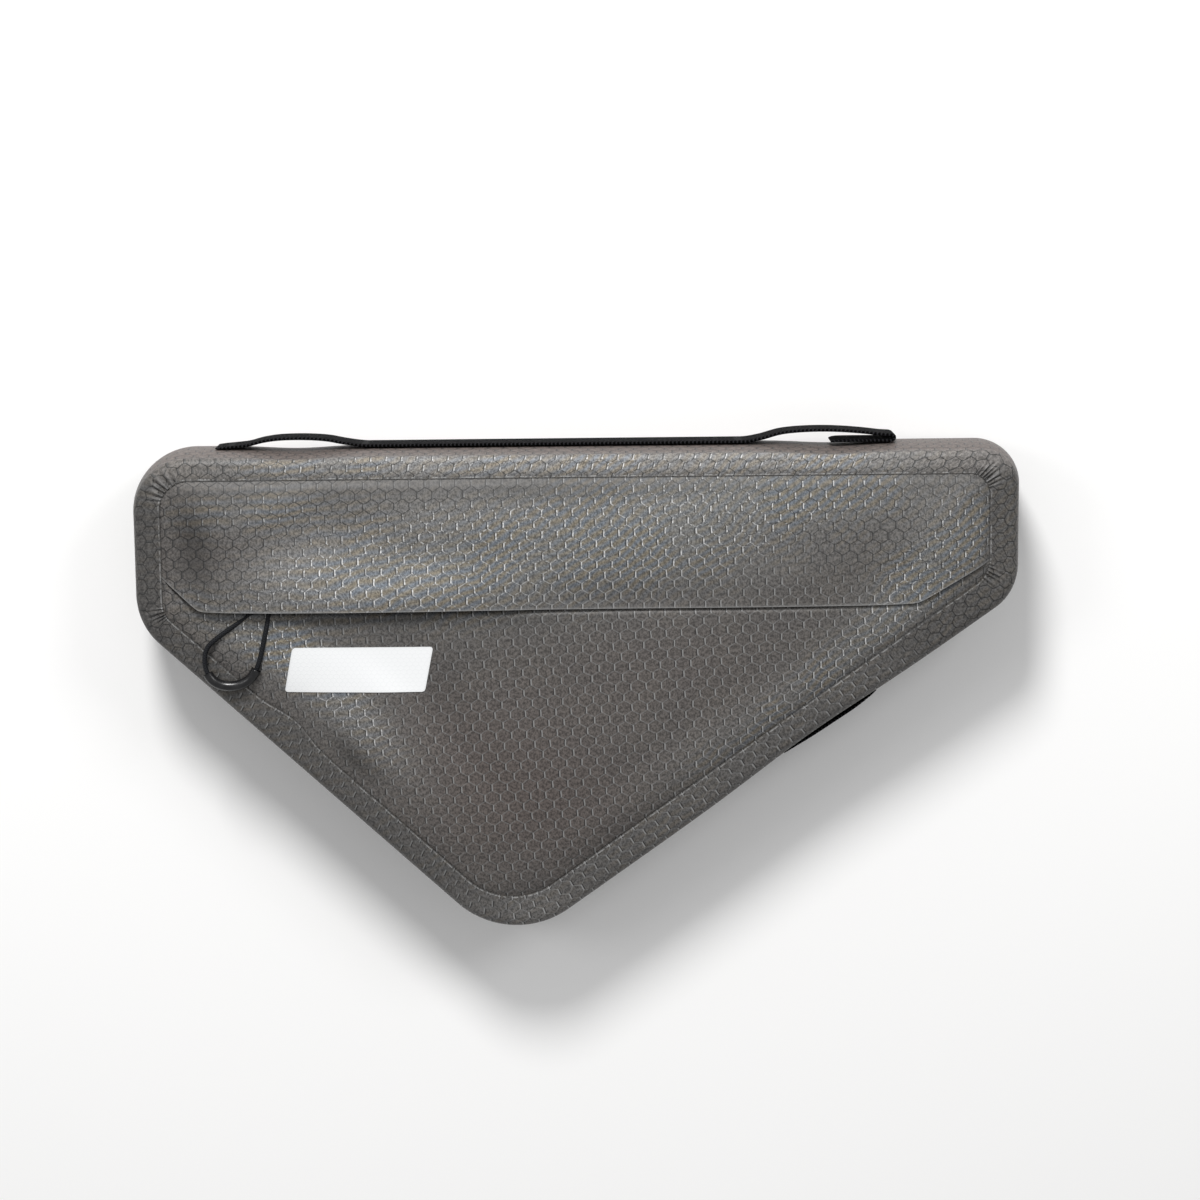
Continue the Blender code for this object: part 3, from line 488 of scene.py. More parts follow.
# Painted light and shade on the cloth: where a sheen is painted, where its yarns are painted lit
# or shaded, and where painted light or painted shade makes it lighter or darker, by doublings.
# Columns: x, y, reach along and reach across in millimetres, amount, turn in degrees
PAINTED_SHEEN_ROWS = (
    (-70, 80, 110, 26, 0.45, 5), (40, 78, 110, 30, 0.85, 12), (-95, 54, 60, 16, 0.7, 3),
    (-165, 92, 40, 12, 0.4, 8), (176, 64, 42, 16, 0.8, 42), (120, 96, 60, 12, 0.4, 0),
    (-148, 22, 30, 14, 0.65, -32), (-180, 38, 20, 10, 0.4, -35), (-112, -10, 50, 15, 0.6, -51),
    (150, 30, 55, 10, 0.5, 34), (95, -20, 70, 13, 0.42, 33),
)
# Yarns painted lit (above 0) or painted shaded (below 0), as the light falls on them
PAINTED_YARN_LIGHT_ROWS = (
    (-190, 60, 34, 46, -1.3, 0), (150, 80, 70, 26, -0.8, 0), (0, 101, 200, 6, -0.6, 0),
    (-120, 92, 90, 16, -0.8, 0), (50, 0, 130, 60, 0.75, 0), (-20, -60, 70, 60, 0.6, 0),
    (60, 45, 90, 14, 0.7, 0), (190, 35, 30, 20, -0.6, 0),
)
# Painted shade in the dents, under the flap's edge and under the top weld line; painted light on
# the ridges and slopes that catch the light
PAINTED_LIGHT_AND_SHADE_ROWS = (
    (-188.5, 70, 24, 8.5, -0.9, 96), (-180, 62, 26, 20, -0.25, 90), (-150, 86, 50, 7, -0.12, 6),
    (-70, 88, 45, 14, 0.34, 0), (-140, 78, 35, 16, 0.28, 0), (-128, -12, 20, 12, 0.24, -45),
    (-105, 54, 60, 12, 0.42, 3), (30, 50, 60, 7, -0.28, 0), (172, 66, 40, 16, 0.35, 42),
    (50, 86, 90, 14, 0.3, 8), (-97.5, 35.2, 80, 3.6, -0.7, 0), (-104, -14, 50, 14, 0.4, -51),
    (-68, 6, 40, 12, -0.22, -51), (-111.5, -36, 14, 5, -0.7, -45), (100, -6, 70, 12, 0.26, 33),
    (-20, -50, 45, 40, -0.16, 0), (0, 100.5, 180, 5.5, -0.36, 0), (-170, 10, 40, 22, 0.26, -40),
    (-148, 18, 24, 14, 0.2, -40), (-182, 36, 22, 10, 0.26, -35), (-130, 66, 30, 16, 0.16, 10),
)
BROWN_ROWS = (
    (-25, -60, 60, 35, 0.9, 0), (-50, -20, 50, 30, 0.5, 0), (40, 10, 60, 30, 0.35, 0),
    (-185, 70, 30, 30, 0.35, 0),
)


def cloth_marks(x, y, inside, rim):
    """Point attributes of a cloth piece: painted sheen, yarns painted lit or shaded, painted light
    and shade, a brown tint, the rim, and inside in millimetres from the weld line.
    """
    return {
        "painted_sheen": np.clip(bells(PAINTED_SHEEN_ROWS, x, y), 0, 1),
        "painted_yarn_light": np.clip(bells(PAINTED_YARN_LIGHT_ROWS, x, y), -1, 1),
        "painted_light_and_shade": bells(PAINTED_LIGHT_AND_SHADE_ROWS, x, y),
        "brown": np.clip(bells(BROWN_ROWS, x, y), 0, 1),
        "inside": inside / MM,
        "rim": rim,
    }


def operator(operation, swapped=False):
    """Method that adds one Math node for a wire and what it is combined with."""
    def apply(self, *other):
        return self.graph.math(operation, *((*other, self) if swapped else (self, *other)))
    return apply


class Wire:
    """Output of a node, with arithmetic that adds Math nodes."""

    def __init__(self, graph, socket):
        self.graph = graph
        self.socket = socket

    __add__, __radd__ = operator("ADD"), operator("ADD", swapped=True)
    __sub__, __rsub__ = operator("SUBTRACT"), operator("SUBTRACT", swapped=True)
    __mul__, __rmul__ = operator("MULTIPLY"), operator("MULTIPLY", swapped=True)
    __truediv__, __abs__ = operator("DIVIDE"), operator("ABSOLUTE")


class Graph:
    """Node tree of one material."""

    def __init__(self, name):
        self.material = bpy.data.materials.new(name)
        self.material.use_nodes = True
        self.tree = self.material.node_tree

    def plug(self, socket, value):
        """Link a wire to a socket, or set the socket's own value."""
        if isinstance(value, Wire):
            self.tree.links.new(value.socket, socket)
        else:
            socket.default_value = value

    def node(self, kind, output, inputs, **settings):
        """Add one node and return one output, its inputs and output by name or number."""
        item = self.tree.nodes.new("ShaderNode" + kind)
        for key, value in settings.items():
            setattr(item, key, value)
        for key, value in inputs.items():
            self.plug(item.inputs[key], value)
        return Wire(self, item.outputs[output])

    def math(self, operation, *values):
        return self.node("Math", 0, dict(enumerate(values)), operation=operation)

    def ease(self, value, low, high, start=0.0, end=1.0):
        """Start below low, end above high, and an ease between them."""
        inputs = dict(enumerate((value, low, high, start, end)))
        return self.node("MapRange", "Result", inputs, interpolation_type="SMOOTHSTEP")

    def near(self, value, half, reach):
        """1 within half of zero, 0 beyond reach, and an ease between them."""
        return self.ease(abs(value), half, reach, 1.0, 0.0)

    def wave(self, value, pitch):
        """Even wave between 0 and 1."""
        return self.math("SINE", value * (2 * math.pi / pitch)) * 0.5 + 0.5

    def mix(self, factor, first, second, blend="MIX"):
        inputs = {"Factor": factor, 6: first, 7: second}
        return self.node("Mix", 2, inputs, data_type="RGBA", blend_type=blend)

    def noise(self, vector, scale, detail=2.0, roughness=0.5, output="Fac"):
        """Noise texture, as a number near 0.5 or as a colour."""
        inputs = {"Vector": vector, "Scale": scale, "Detail": detail, "Roughness": roughness}
        return self.node("TexNoise", output, inputs)

    def uv(self):
        """The piece's own UV map, in millimetres."""
        return self.node("UVMap", "UV", {}, uv_map="cloth")

    def place(self):
        """Object coordinates, in metres."""
        return self.node("TexCoord", "Object", {})

    def split(self, vector):
        """The first two numbers of a vector."""
        return [self.node("SeparateXYZ", axis, {"Vector": vector}) for axis in "XY"]

    def scaled(self, vector, *scale):
        return self.node("Mapping", "Vector", {"Vector": vector, "Scale": scale})

    def mark(self, name):
        return self.node("Attribute", "Fac", {}, attribute_name=name)

    def bump(self, height, distance, strength, **more):
        """Bump from a height, on top of another Normal if one is given."""
        inputs = {"Height": height, "Distance": distance, "Strength": strength}
        return self.node("Bump", "Normal", {**inputs, **more})

    def finish(self, color, rough, normal=None, specular=0.5):
        """Plug the Principled shader."""
        sockets = self.tree.nodes["Principled BSDF"].inputs
        self.plug(sockets["Base Color"], color)
        self.plug(sockets["Roughness"], rough)
        self.plug(sockets["Specular IOR Level"], specular)
        if normal:
            self.plug(sockets["Normal"], normal)
        return self.material


def paint(*parts):
    """A colour from its three parts, or a grey from one."""
    return (*(parts * 3)[:3], 1.0)


HEX_PITCH = 7.55       # millimetres across the cells' straight sides
HEX_STRAIGHT = 2.85    # length of a straight side
HEX_SLANT = 2.35       # rise of a slanted side


def honeycomb(graph, vector):
    """Distance to the nearest slanted side of a flat honeycomb, and signed distance to the
    nearest straight one.

    With a and b the distances to the nearest column of cell middles and to every second row,
    q = straight side / 2 + slant - b - a * slope is positive in one set of cells and negative
    in the other. |q| gives the slanted sides; the straight ones lie at x = (n + 1/2) pitch in
    the first set and at x = n pitch in the other.
    """
    x, y = graph.split(vector)
    across = graph.math("PINGPONG", x, HEX_PITCH / 2)
    up = graph.math("PINGPONG", y, HEX_STRAIGHT + HEX_SLANT)
    slope = 2 * HEX_SLANT / HEX_PITCH
    q = (HEX_STRAIGHT / 2 + HEX_SLANT) - up - across * slope
    other = graph.math("LESS_THAN", q, 0.0)
    cell = graph.math("FRACT", x / HEX_PITCH + other * 0.5)
    return abs(q) * math.cos(math.atan(slope)), (cell - 0.5) * HEX_PITCH


# Coloured bands of a painted reflection, painted only where a sheen is painted on the cloth
BAND_PITCH = 5.6         # millimetres between the coloured bands of the film's sheen
BAND_CLIMB = 0.74        # their slope to the right
BAND_TURN = -70.0        # where they turn upwards
BAND_BEND = 70.0         # how gently
BAND_DRIFT = 16.0        # how far they wander
BAND_DRIFT_SCALE = 0.030


def sheen_bands(graph, vector):
    """Soft wave of bands, level at the left and climbing to the right, a little wandering.

    They lie at y - climb * (d + sqrt(d^2 + bend^2)) / 2 = n pitch, with d = x - turn.
    """
    x, y = graph.split(vector)
    past = x - BAND_TURN
    bent = graph.math("SQRT", past * past + BAND_BEND**2)
    drift = graph.noise(vector, BAND_DRIFT_SCALE) * BAND_DRIFT
    return graph.wave(y - (past + bent) * (BAND_CLIMB / 2) + drift, BAND_PITCH)


# Looks of the cloth, in millimetres. Noises: scale, detail, roughness
WOBBLE, YARN_WANDER = (0.35, 1.0), 0.60
BROKEN = (0.75,)
PATCHY = (0.045, 3.0, 0.6)
GRAIN, GRAIN_STRETCH = (1.05, 3.0, 0.75), (1.15, 0.80, 1.0)
SPECK, SPECK_SHARE = (0.62, 1.0, 0.6), 0.38
FADING = (0.016, 1.0)
RAGGED = (0.50, 3.0, 0.7)
CREASED = (0.085, 3.0)
# Lines: where the middle lies, then half the width and where the soft edge ends
THIN_YARN = (0.11, 0.38)
BRIGHT_AT, BRIGHT_YARN = 0.14, (0.18, 0.42)
# Painted shade beside each straight yarn, where its relief would shade the cloth
SHADE_AT, SHADE_BESIDE_YARN = -0.48, (0.12, 0.38)
# The weld's ragged dark line is painted shade; the pressed line beside it gets a painted glint
WELD_AT, WELD_LINE, WELD_WANDER = 0.20, (0.12, 0.50), 1.1
PRESSED_AT, PRESSED_LINE, PRESSED_WANDER = -0.65, (0.12, 0.42), 0.8
HIGH_FROM, HIGH_TO = 0.060, 0.095    # metres up the front where the weld shows in full
# Colours, and what share of each shows
GROUND, PATCHY_GROUND = paint(0.077, 0.072, 0.069), paint(0.087, 0.080, 0.074)
BROWN_GROUND = paint(0.085, 0.071, 0.065)
# Painted sheen: the lighter ground where a sheen is painted, and how much of it shows
PAINTED_SHEEN_GROUND, PAINTED_SHEEN_SHARE = paint(0.130, 0.130, 0.126), 0.80
# Tints of the painted reflection's bands
BLUE_BAND, YELLOW_BAND = paint(0.83, 0.96, 1.16), paint(1.17, 1.04, 0.82)
SPECKLES = paint(0.50), paint(1.50)
# Yarn colours, slanted then straight: plain, painted lit and painted shaded
THIN_PLAIN, THIN_LIT, THIN_SHADED = paint(0.040), paint(0.18), paint(0.005)
THICK_PLAIN, THICK_LIT, THICK_SHADED = paint(0.14), paint(0.25), paint(0.045)
# Painted flash, painted glint, painted shade, and the colour of the lighter flap edge and of the
# painted highlight on the crimps' ridges
FLASH, GLINT, SHADE, RIDGE_HIGHLIGHT_AND_LIGHT_EDGE = paint(0.56), paint(0.38), paint(0.012), paint(0.26)
SHADE_SHARE, BRIGHT_SHARE, SHINE_SHARE, RIDGE_HIGHLIGHT_AND_EDGE_SHARE = 0.85, 0.82, 0.66, 0.7
RELIEF_HEIGHT, CREASE_HEIGHT = 0.00005, 0.0012


def cloth_ground(graph, uv, painted_sheen, patchy, grain):
    """Colour of the cloth between its yarns: speckled and, by place, browner, and lighter where a
    sheen is painted on it, with the film's coloured bands painted where that painted sheen shows."""
    warm = graph.mix(graph.ease(patchy, 0.38, 0.66), GROUND, PATCHY_GROUND)
    warm = graph.mix(graph.mark("brown"), warm, BROWN_GROUND)
    ground = graph.mix(painted_sheen * PAINTED_SHEEN_SHARE, warm, PAINTED_SHEEN_GROUND)
    bands = sheen_bands(graph, graph.scaled(graph.place(), 1 / MM, 1 / MM, 1 / MM))
    # The painted bands show only where the painted sheen is strong
    strength = graph.ease(painted_sheen * graph.ease(patchy, 0.2, 0.6), 0.03, 0.60)
    strength = strength * graph.ease(graph.noise(uv, *FADING), 0.38, 0.56, 0.45, 1.0)
    tinted = graph.mix(bands, BLUE_BAND, YELLOW_BAND)
    ground = graph.mix(strength, ground, tinted, blend="MULTIPLY")
    speck = graph.noise(uv, *SPECK) * SPECK_SHARE + grain * (1 - SPECK_SHARE)
    speckle = graph.mix(graph.ease(speck, 0.37, 0.63), *SPECKLES)
    return graph.mix(1.0, ground, speckle, blend="MULTIPLY")


def cloth_weld(graph, color, uv, painted_sheen):
    """The colour with the weld line on it: a ragged dark line of painted shade, and a pressed line
    beside it with a painted glint here and there, more of it where a sheen is painted."""
    inside = graph.mark("inside")
    ragged = graph.noise(uv, *RAGGED)
    uneven = ragged - 0.5
    high = graph.ease(graph.split(graph.place())[1], HIGH_FROM, HIGH_TO)
    weld = graph.near(inside - WELD_AT + uneven * WELD_WANDER, *WELD_LINE)
    weld = weld * graph.ease(ragged, 0.36, 0.60, 0.85, 0.10) * (0.45 + high * 0.55)
    pressed = graph.near(inside - PRESSED_AT + uneven * PRESSED_WANDER, *PRESSED_LINE)
    shining = graph.ease(ragged + painted_sheen * 0.34 + (1.0 - high) * 0.04, 0.54, 0.72) * pressed
    return graph.mix(shining * SHINE_SHARE, graph.mix(weld, color, SHADE), GLINT)


def make_cloth():
    """Coated ripstop cloth: a fine weave under a satin film, with a honeycomb of thicker yarns.

    The yarns are painted lit or shaded by place through a point attribute, each straight one with
    a dark side of painted shade and a light one, and they get a painted flash and painted glints
    where a sheen is painted, as such cloth shows where it catches light.
    """
    graph = Graph("coated_cloth_look")
    uv = graph.uv()
    painted_sheen, painted_yarn_light = graph.mark("painted_sheen"), graph.mark("painted_yarn_light")
    inputs = {0: graph.noise(uv, *WOBBLE, output="Color"), 1: (YARN_WANDER, YARN_WANDER, 0), 2: uv}
    wander = graph.node("VectorMath", "Vector", inputs, operation="MULTIPLY_ADD")
    slanted, straight = honeycomb(graph, wander)
    broken = graph.noise(uv, *BROKEN)
    patchy = graph.noise(uv, *PATCHY)
    grain = graph.noise(graph.scaled(uv, *GRAIN_STRETCH), *GRAIN)
    thin = graph.near(slanted, *THIN_YARN) * graph.ease(broken, 0.32, 0.58, 0.40, 1.0)
    bright_side = graph.near(straight - BRIGHT_AT, *BRIGHT_YARN)
    painted_shade_side = graph.near(straight - SHADE_AT, *SHADE_BESIDE_YARN)
    lit_yarns = graph.ease(painted_yarn_light, -0.2, 0.7)
    shaded_yarns = graph.ease(painted_yarn_light, 0.15, -0.7)
    # Painted highlight: the straight yarns flash where a sheen is painted
    flash = graph.ease(painted_sheen + (patchy - 0.5) * 0.6, 0.12, 0.80)
    flash = flash * graph.ease(broken, 0.38, 0.60, 0.12, 1.0)
    # Painted glints and painted shade on the slanted yarns where a sheen is painted
    glints = graph.mix(graph.ease(broken + painted_yarn_light * 0.15, 0.45, 0.55), SHADE, GLINT)
    # Yarn colours painted lit or shaded by place
    thin_color = graph.mix(lit_yarns, THIN_PLAIN, THIN_LIT)
    thin_color = graph.mix(shaded_yarns, thin_color, THIN_SHADED)
    thin_color = graph.mix(graph.ease(painted_sheen, 0.15, 0.7, 0.0, 0.85), thin_color, glints)
    thick_color = graph.mix(lit_yarns, THICK_PLAIN, THICK_LIT)
    thick_color = graph.mix(shaded_yarns, thick_color, THICK_SHADED)
    thick_color = graph.mix(flash, thick_color, FLASH)
    color = cloth_ground(graph, uv, painted_sheen, patchy, grain)
    color = graph.mix(thin * graph.ease(painted_yarn_light, -0.3, 0.5, 0.92, 0.60), color, thin_color)
    # Painted shade beside each straight yarn
    color = graph.mix(painted_shade_side * SHADE_SHARE, color, SHADE)
    color = graph.mix(bright_side * BRIGHT_SHARE, color, thick_color)
    color = cloth_weld(graph, color, uv, painted_sheen)
    # Lighter along the flap's free edge, and a painted highlight on the crimps' ridges
    color = graph.mix(graph.mark("rim") * RIDGE_HIGHLIGHT_AND_EDGE_SHARE, color, RIDGE_HIGHLIGHT_AND_LIGHT_EDGE)
    # Painted light and shade: the colour doubled or halved by place
    inputs = {0: color, "Scale": graph.math("POWER", 2.0, graph.mark("painted_light_and_shade"))}
    color = graph.node("VectorMath", "Vector", inputs, operation="SCALE")
    relief = thin * 0.5 + bright_side * 0.8 + grain * 0.45
    creases = graph.bump(graph.noise(uv, *CREASED), CREASE_HEIGHT, 0.30)
    normal = graph.bump(relief, RELIEF_HEIGHT, 0.7, Normal=creases)
    rough = graph.ease(grain, 0.25, 0.75, 0.46, 0.60) - bright_side * 0.10
    return graph.finish(color, rough, normal, 0.40)


RIB_PITCH, RIB_SLANT, YARN_PITCH = 2.0, 0.5, 1.2
BLACK_WEAVE = paint(0.0003, 0.0003, 0.0004), paint(0.024, 0.024, 0.027)
STITCH_COLOR, STITCH_SHARE = paint(0.024, 0.024, 0.025), 0.7


def make_webbing():
    """Woven black webbing: slanted ribs across it that meet at its middle, and bar tacks."""
    graph = Graph("webbing_look")
    uv = graph.uv()
    along, across = graph.split(uv)
    ribs = graph.wave(along + abs(across) * RIB_SLANT, RIB_PITCH)
    fuzz = graph.noise(uv, 2.2, 3.0, 0.7)
    height = ribs * 0.7 + graph.wave(across, YARN_PITCH) * ribs * 0.3
    shown = graph.ease(height * 0.70 + fuzz * 0.30, 0.45, 0.90)
    stitch = graph.mark("stitch")
    color = graph.mix(stitch * STITCH_SHARE, graph.mix(shown, *BLACK_WEAVE), STITCH_COLOR)
    rough = graph.ease(fuzz, 0.3, 0.7, 0.75, 0.95)
    normal = graph.bump(height + stitch * 0.8, 0.00040, 0.9)
    return graph.finish(color, rough, normal, 0.05)


STRAND_PITCH, STRANDS = 1.3, 4.0
BRAID_COLORS = paint(0.0010, 0.0010, 0.0015), paint(0.010, 0.011, 0.014)


def make_braid():
    """Braided black cord: two sets of strands that wind round it both ways."""
    graph = Graph("cord_look")
    uv = graph.uv()
    along, around = graph.split(uv)
    turned = along * (2 * math.pi / STRAND_PITCH)
    one = graph.math("SINE", turned + around * STRANDS)
    other = graph.math("SINE", turned - around * STRANDS)
    strand = graph.math("MAXIMUM", one, other) * 0.5 + 0.5
    normal = graph.bump(strand, 0.00018, 0.8)
    rough = graph.ease(graph.noise(uv, 1.5), 0.3, 0.7, 0.50, 0.70)
    return graph.finish(graph.mix(strand, *BRAID_COLORS), rough, normal, 0.22)


SLEEVE_COLORS = paint(0.004, 0.004, 0.005), paint(0.010, 0.010, 0.011)


def make_sleeve_look():
    """Glossy soft tube, a little scuffed."""
    graph = Graph("sleeve_look")
    scuff = graph.noise(graph.place(), 260.0)
    color = graph.mix(graph.ease(scuff, 0.45, 0.75), *SLEEVE_COLORS)
    rough = graph.ease(scuff, 0.35, 0.75, 0.26, 0.36)
    normal = graph.bump(scuff, 0.00003, 0.3)
    return graph.finish(color, rough, normal, 0.60)


FILM_CELLS, FILM_LINE = 2.6, (0.25, 0.6)    # cells to one of the cloth's, and their lines
FILM_COLORS = paint(0.82, 0.83, 0.84), paint(0.74, 0.755, 0.77)
FILM_RIM = paint(0.62, 0.63, 0.64)


def make_film():
    """Light reflective film with the fine honeycomb of such films, a little worn at its rim."""
    graph = Graph("film_look")
    uv = graph.uv()
    sides = honeycomb(graph, graph.scaled(uv, FILM_CELLS, FILM_CELLS, 1.0))
    net = graph.math("MAXIMUM", *(graph.near(side, *FILM_LINE) for side in sides))
    grain = graph.noise(uv, 1.4, 3.0, 0.6)
    color = graph.mix(graph.mark("rim") * 0.5, graph.mix(net * 0.35, *FILM_COLORS), FILM_RIM)
    rough = graph.ease(grain, 0.3, 0.7, 0.34, 0.50)
    normal = graph.bump(net * 0.5 + grain * 0.3, 0.00006, 0.6)
    return graph.finish(color, rough, normal)


TOOTH_PITCH, TEETH_LINE = 0.0021, (0.0026, 0.0032)
ZIP_COLORS = paint(0.006, 0.006, 0.007), paint(0.030, 0.030, 0.032)


def make_zip_look():
    """Matte black zip: a coil of teeth along the middle of a woven tape."""
    graph = Graph("zip_look")
    place = graph.place()
    x, y = graph.split(place)
    near = graph.near(y - (CREST - ZIP_DROP), *TEETH_LINE)
    weave = graph.noise(place, 1800.0)
    height = near * graph.wave(x, TOOTH_PITCH) + (1.0 - near) * weave * 0.3
    rough = graph.ease(weave, 0.3, 0.7, 0.40, 0.62)
    normal = graph.bump(height, 0.00040, 0.7)
    return graph.finish(graph.mix(height, *ZIP_COLORS), rough, normal)


MATERIALS = {
    "coated_cloth": make_cloth(),
    "webbing": make_webbing(),
    "cord_black": make_braid(),
    "sleeve_rubber": make_sleeve_look(),
    "patch_white": make_film(),
    "zip_black": make_zip_look(),
}


def turned_surface(name, path, run, radius, slot, sides, closed):
    """Surface round a path: at each run along it, a circle of that radius.

    With closed, the last circle joins the first, as on a tube with a wall; otherwise both
    ends close in a point. Its UV map is the run in millimetres and the angle.
    """
    reach = run_length(path)
    run = np.clip(run, 0, reach[-1])
    tangent = unit(np.gradient(path, axis=0))
    sideways = unit(np.cross(tangent, (0, 0, 1)))
    upwards = np.cross(sideways, tangent)
    centre = along_run(path, reach, run)
    right, up = (along_run(spokes, reach, run)[:, None] for spokes in (sideways, upwards))
    angle = np.arange(sides) * 2 * math.pi / sides
    spoke = right * np.cos(angle)[:, None] + up * np.sin(angle)[:, None]
    vertices = (centre[:, None] + spoke * radius[:, None, None]).reshape(-1, 3)
    faces = [grid_quads(len(run), sides, wrap_rows=closed, wrap_columns=True)[:, ::-1]]
    rows, around = np.divmod(faces[0], sides)
    wrapped = (around == 0) & (around.max(axis=1) == sides - 1)[:, None]
    turned = angle[around] + 2 * math.pi * wrapped
    uv = np.stack([run[rows] / MM, turned], axis=-1).reshape(-1, 2)
    if not closed:
        ends = np.arange(sides)
        ahead = np.roll(ends, -1)
        last = (len(run) - 1) * sides
        hub = np.full(sides, len(vertices))
        faces.append(np.vstack([
            np.stack([hub, ends, ahead], axis=-1),
            np.stack([hub + 1, last + ahead, last + ends], axis=-1),
        ]))
        vertices = np.vstack([vertices, centre[:1], centre[-1:]])
        caps = np.zeros((2 * sides * 3, 2))
        caps[3 * sides:, 0] = run[-1] / MM
        uv = np.vstack([uv, caps])
    return new_piece(name, vertices, faces, slot, uv)


CORD_STEPS, CORD_SIDES = 120, 20
SLEEVE_STEPS, BORE_STEPS, SLEEVE_SIDES = 60, 40, 28
SLEEVE_FROM, SLEEVE_TO = 10 / 23, 16 / 23    # shares of the cord's length
SLEEVE_CORNER = 0.0007


def make_zip_pull():
    """Loop of cord on the zip's slider, and the glossy sleeve bent round the loop.

    The sleeve is a closed wall: its end face with a shallow groove, its outside, the other end
    face, and back along the bore.
    """
    along, down, above = np.array(CORD_ROWS).T
    route = np.column_stack([
        SLIDER_MARGIN - HALF_LENGTH + along * PULL_LENGTH,
        FRONT_PANEL_TOP - down * PULL_LENGTH,
        BAG_DEPTH + above * FRONT_CROWN,
    ])
    path = smooth_curve(route, CORD_STEPS)
    reach = run_length(path)
    length = float(reach[-1])
    radius = CORD_DIAMETER / 2
    cord = turned_surface(
        "pull_cord", path, reach, np.full(len(path), radius), "cord_black", CORD_SIDES, False)
    start, end = SLEEVE_FROM * length, SLEEVE_TO * length
    outer, bore = SLEEVE_DIAMETER / 2, radius + GAP / 2
    groove = SLEEVE_CORNER * (1 - np.sin(np.linspace(0, math.pi / 2, 6)))
    middle = np.linspace(start + SLEEVE_CORNER, end - SLEEVE_CORNER, SLEEVE_STEPS)[1:-1]
    run = np.concatenate([
        [start], start + groove, middle, end - groove[::-1], np.linspace(end, start, BORE_STEPS),
    ])
    size = np.concatenate([
        [outer - SLEEVE_CORNER], outer - groove, np.full(len(middle), outer),
        outer - groove[::-1], np.full(BORE_STEPS, bore),
    ])
    sleeve = turned_surface("pull_sleeve", path, run, size, "sleeve_rubber", SLEEVE_SIDES, True)
    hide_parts("zip_pull_cord")
    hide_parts("zip_pull_sleeve")


make_zip_pull()


def flap_lift(x, y, edge):
    """How far the flap stands off the front panel."""
    lift = FLAP_LIFT * eased_table(LIFT_ROWS, x / HALF_LENGTH)
    return lift * (1 - smooth(y, edge, edge + FLAP_LIFT_REACH))


FLAP_STAND = 0.0004      # the flap's cloth lies this far proud of the panel beside it
PANEL_SINK = 0.0014      # the front panel sinks this far to run in under the flap
SINK_REACH = 0.0032
SINK_PAST = 0.0005
PANEL_CLIMB = 0.022      # height over which its rows take up the flap edge's turns
SETTLE = 0.004           # the flap's and the panels' own steps fade this near to the weld
BOTTOM_MARGIN = 0.0004
RIM_REACH = 0.0005
FLAP_WEAVE_TURN = 1.0    # degrees that the cloth's grid climbs to the right
PANEL_WEAVE_TURN = 2.8
FLAP_GRID, PANEL_GRID, BACK_GRID = (72, 260), (150, 230), (60, 120)
FLAP_GATHER, COLUMN_EASE, BACK_EASE = 1.25, 0.25, 0.06
BACK_LIFT = LIP + 0.0003
TUCKED_BOTTOM, TUCKED_TOP = TUCKED[:, 1].min(), TUCKED[:, 1].max()


def wide_rows(heights, right_heights, columns):
    """x of a grid whose rows run between the tucked outline's ends at their heights."""
    shares = np.linspace(0, 1, columns)
    shares = shares - COLUMN_EASE * np.sin(2 * math.pi * shares) / (2 * math.pi)
    left = np.array([span_at(TUCKED, height)[0] for height in heights])
    right = np.array([span_at(TUCKED, height)[1] for height in right_heights])
    return left[:, None] + shares[None, :] * (right - left)[:, None]


def make_rain_flap():
    """Upper panel of the front, a little proud of the front's height and lifted at its edge."""
    rows, columns = FLAP_GRID
    share = np.linspace(0, 1, rows)
    nominal = FLAP_ENDS + share * (TUCKED_TOP - FLAP_ENDS)
    x = wide_rows(nominal, nominal, columns)
    edge = flap_edge_height(x)
    y = edge + share[:, None] ** FLAP_GATHER * (TUCKED_TOP - edge)
    height, inside = front_height(x, y)
    top = height + (FLAP_STAND + flap_lift(x, y, edge)) * smooth(inside, 0, SETTLE)
    # The free edge is drawn lighter
    rim = np.exp(-(y - edge) / RIM_REACH)
    piece = cloth_sheet("rain_flap_cloth", x, y, top, inside, rim, FLAP_WEAVE_TURN)
    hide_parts("rain_flap")


def make_front_panel():
    """Lower panel of the front, at its height and sunk along the flap's edge to run under it."""
    rows, columns = PANEL_GRID
    bottom = TUCKED_BOTTOM + BOTTOM_MARGIN
    share = np.linspace(0, 1, rows)
    share = 0.5 * share + 0.5 * np.sin(share * math.pi / 2)
    nominal = bottom + share * (FRONT_PANEL_TOP - bottom)
    climb = smooth(nominal, FRONT_PANEL_TOP - PANEL_CLIMB, FRONT_PANEL_TOP)
    left, right = (flap_edge_height(end) - FLAP_EDGE for end in span_at(TUCKED, FLAP_ENDS))
    x = wide_rows(nominal + climb * left, nominal + climb * right, columns)
    edge = flap_edge_height(x)
    y = nominal[:, None] + (edge - FLAP_EDGE) * climb[:, None]
    height, inside = front_height(x, y)
    sunk = smooth(y, edge - SINK_REACH, edge + SINK_PAST) * smooth(inside, 0, SETTLE)
    top = height - PANEL_SINK * sunk
    piece = cloth_sheet(
        "front_panel_cloth", x, y, top, inside, np.zeros(x.shape), PANEL_WEAVE_TURN)
    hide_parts("front_panel")


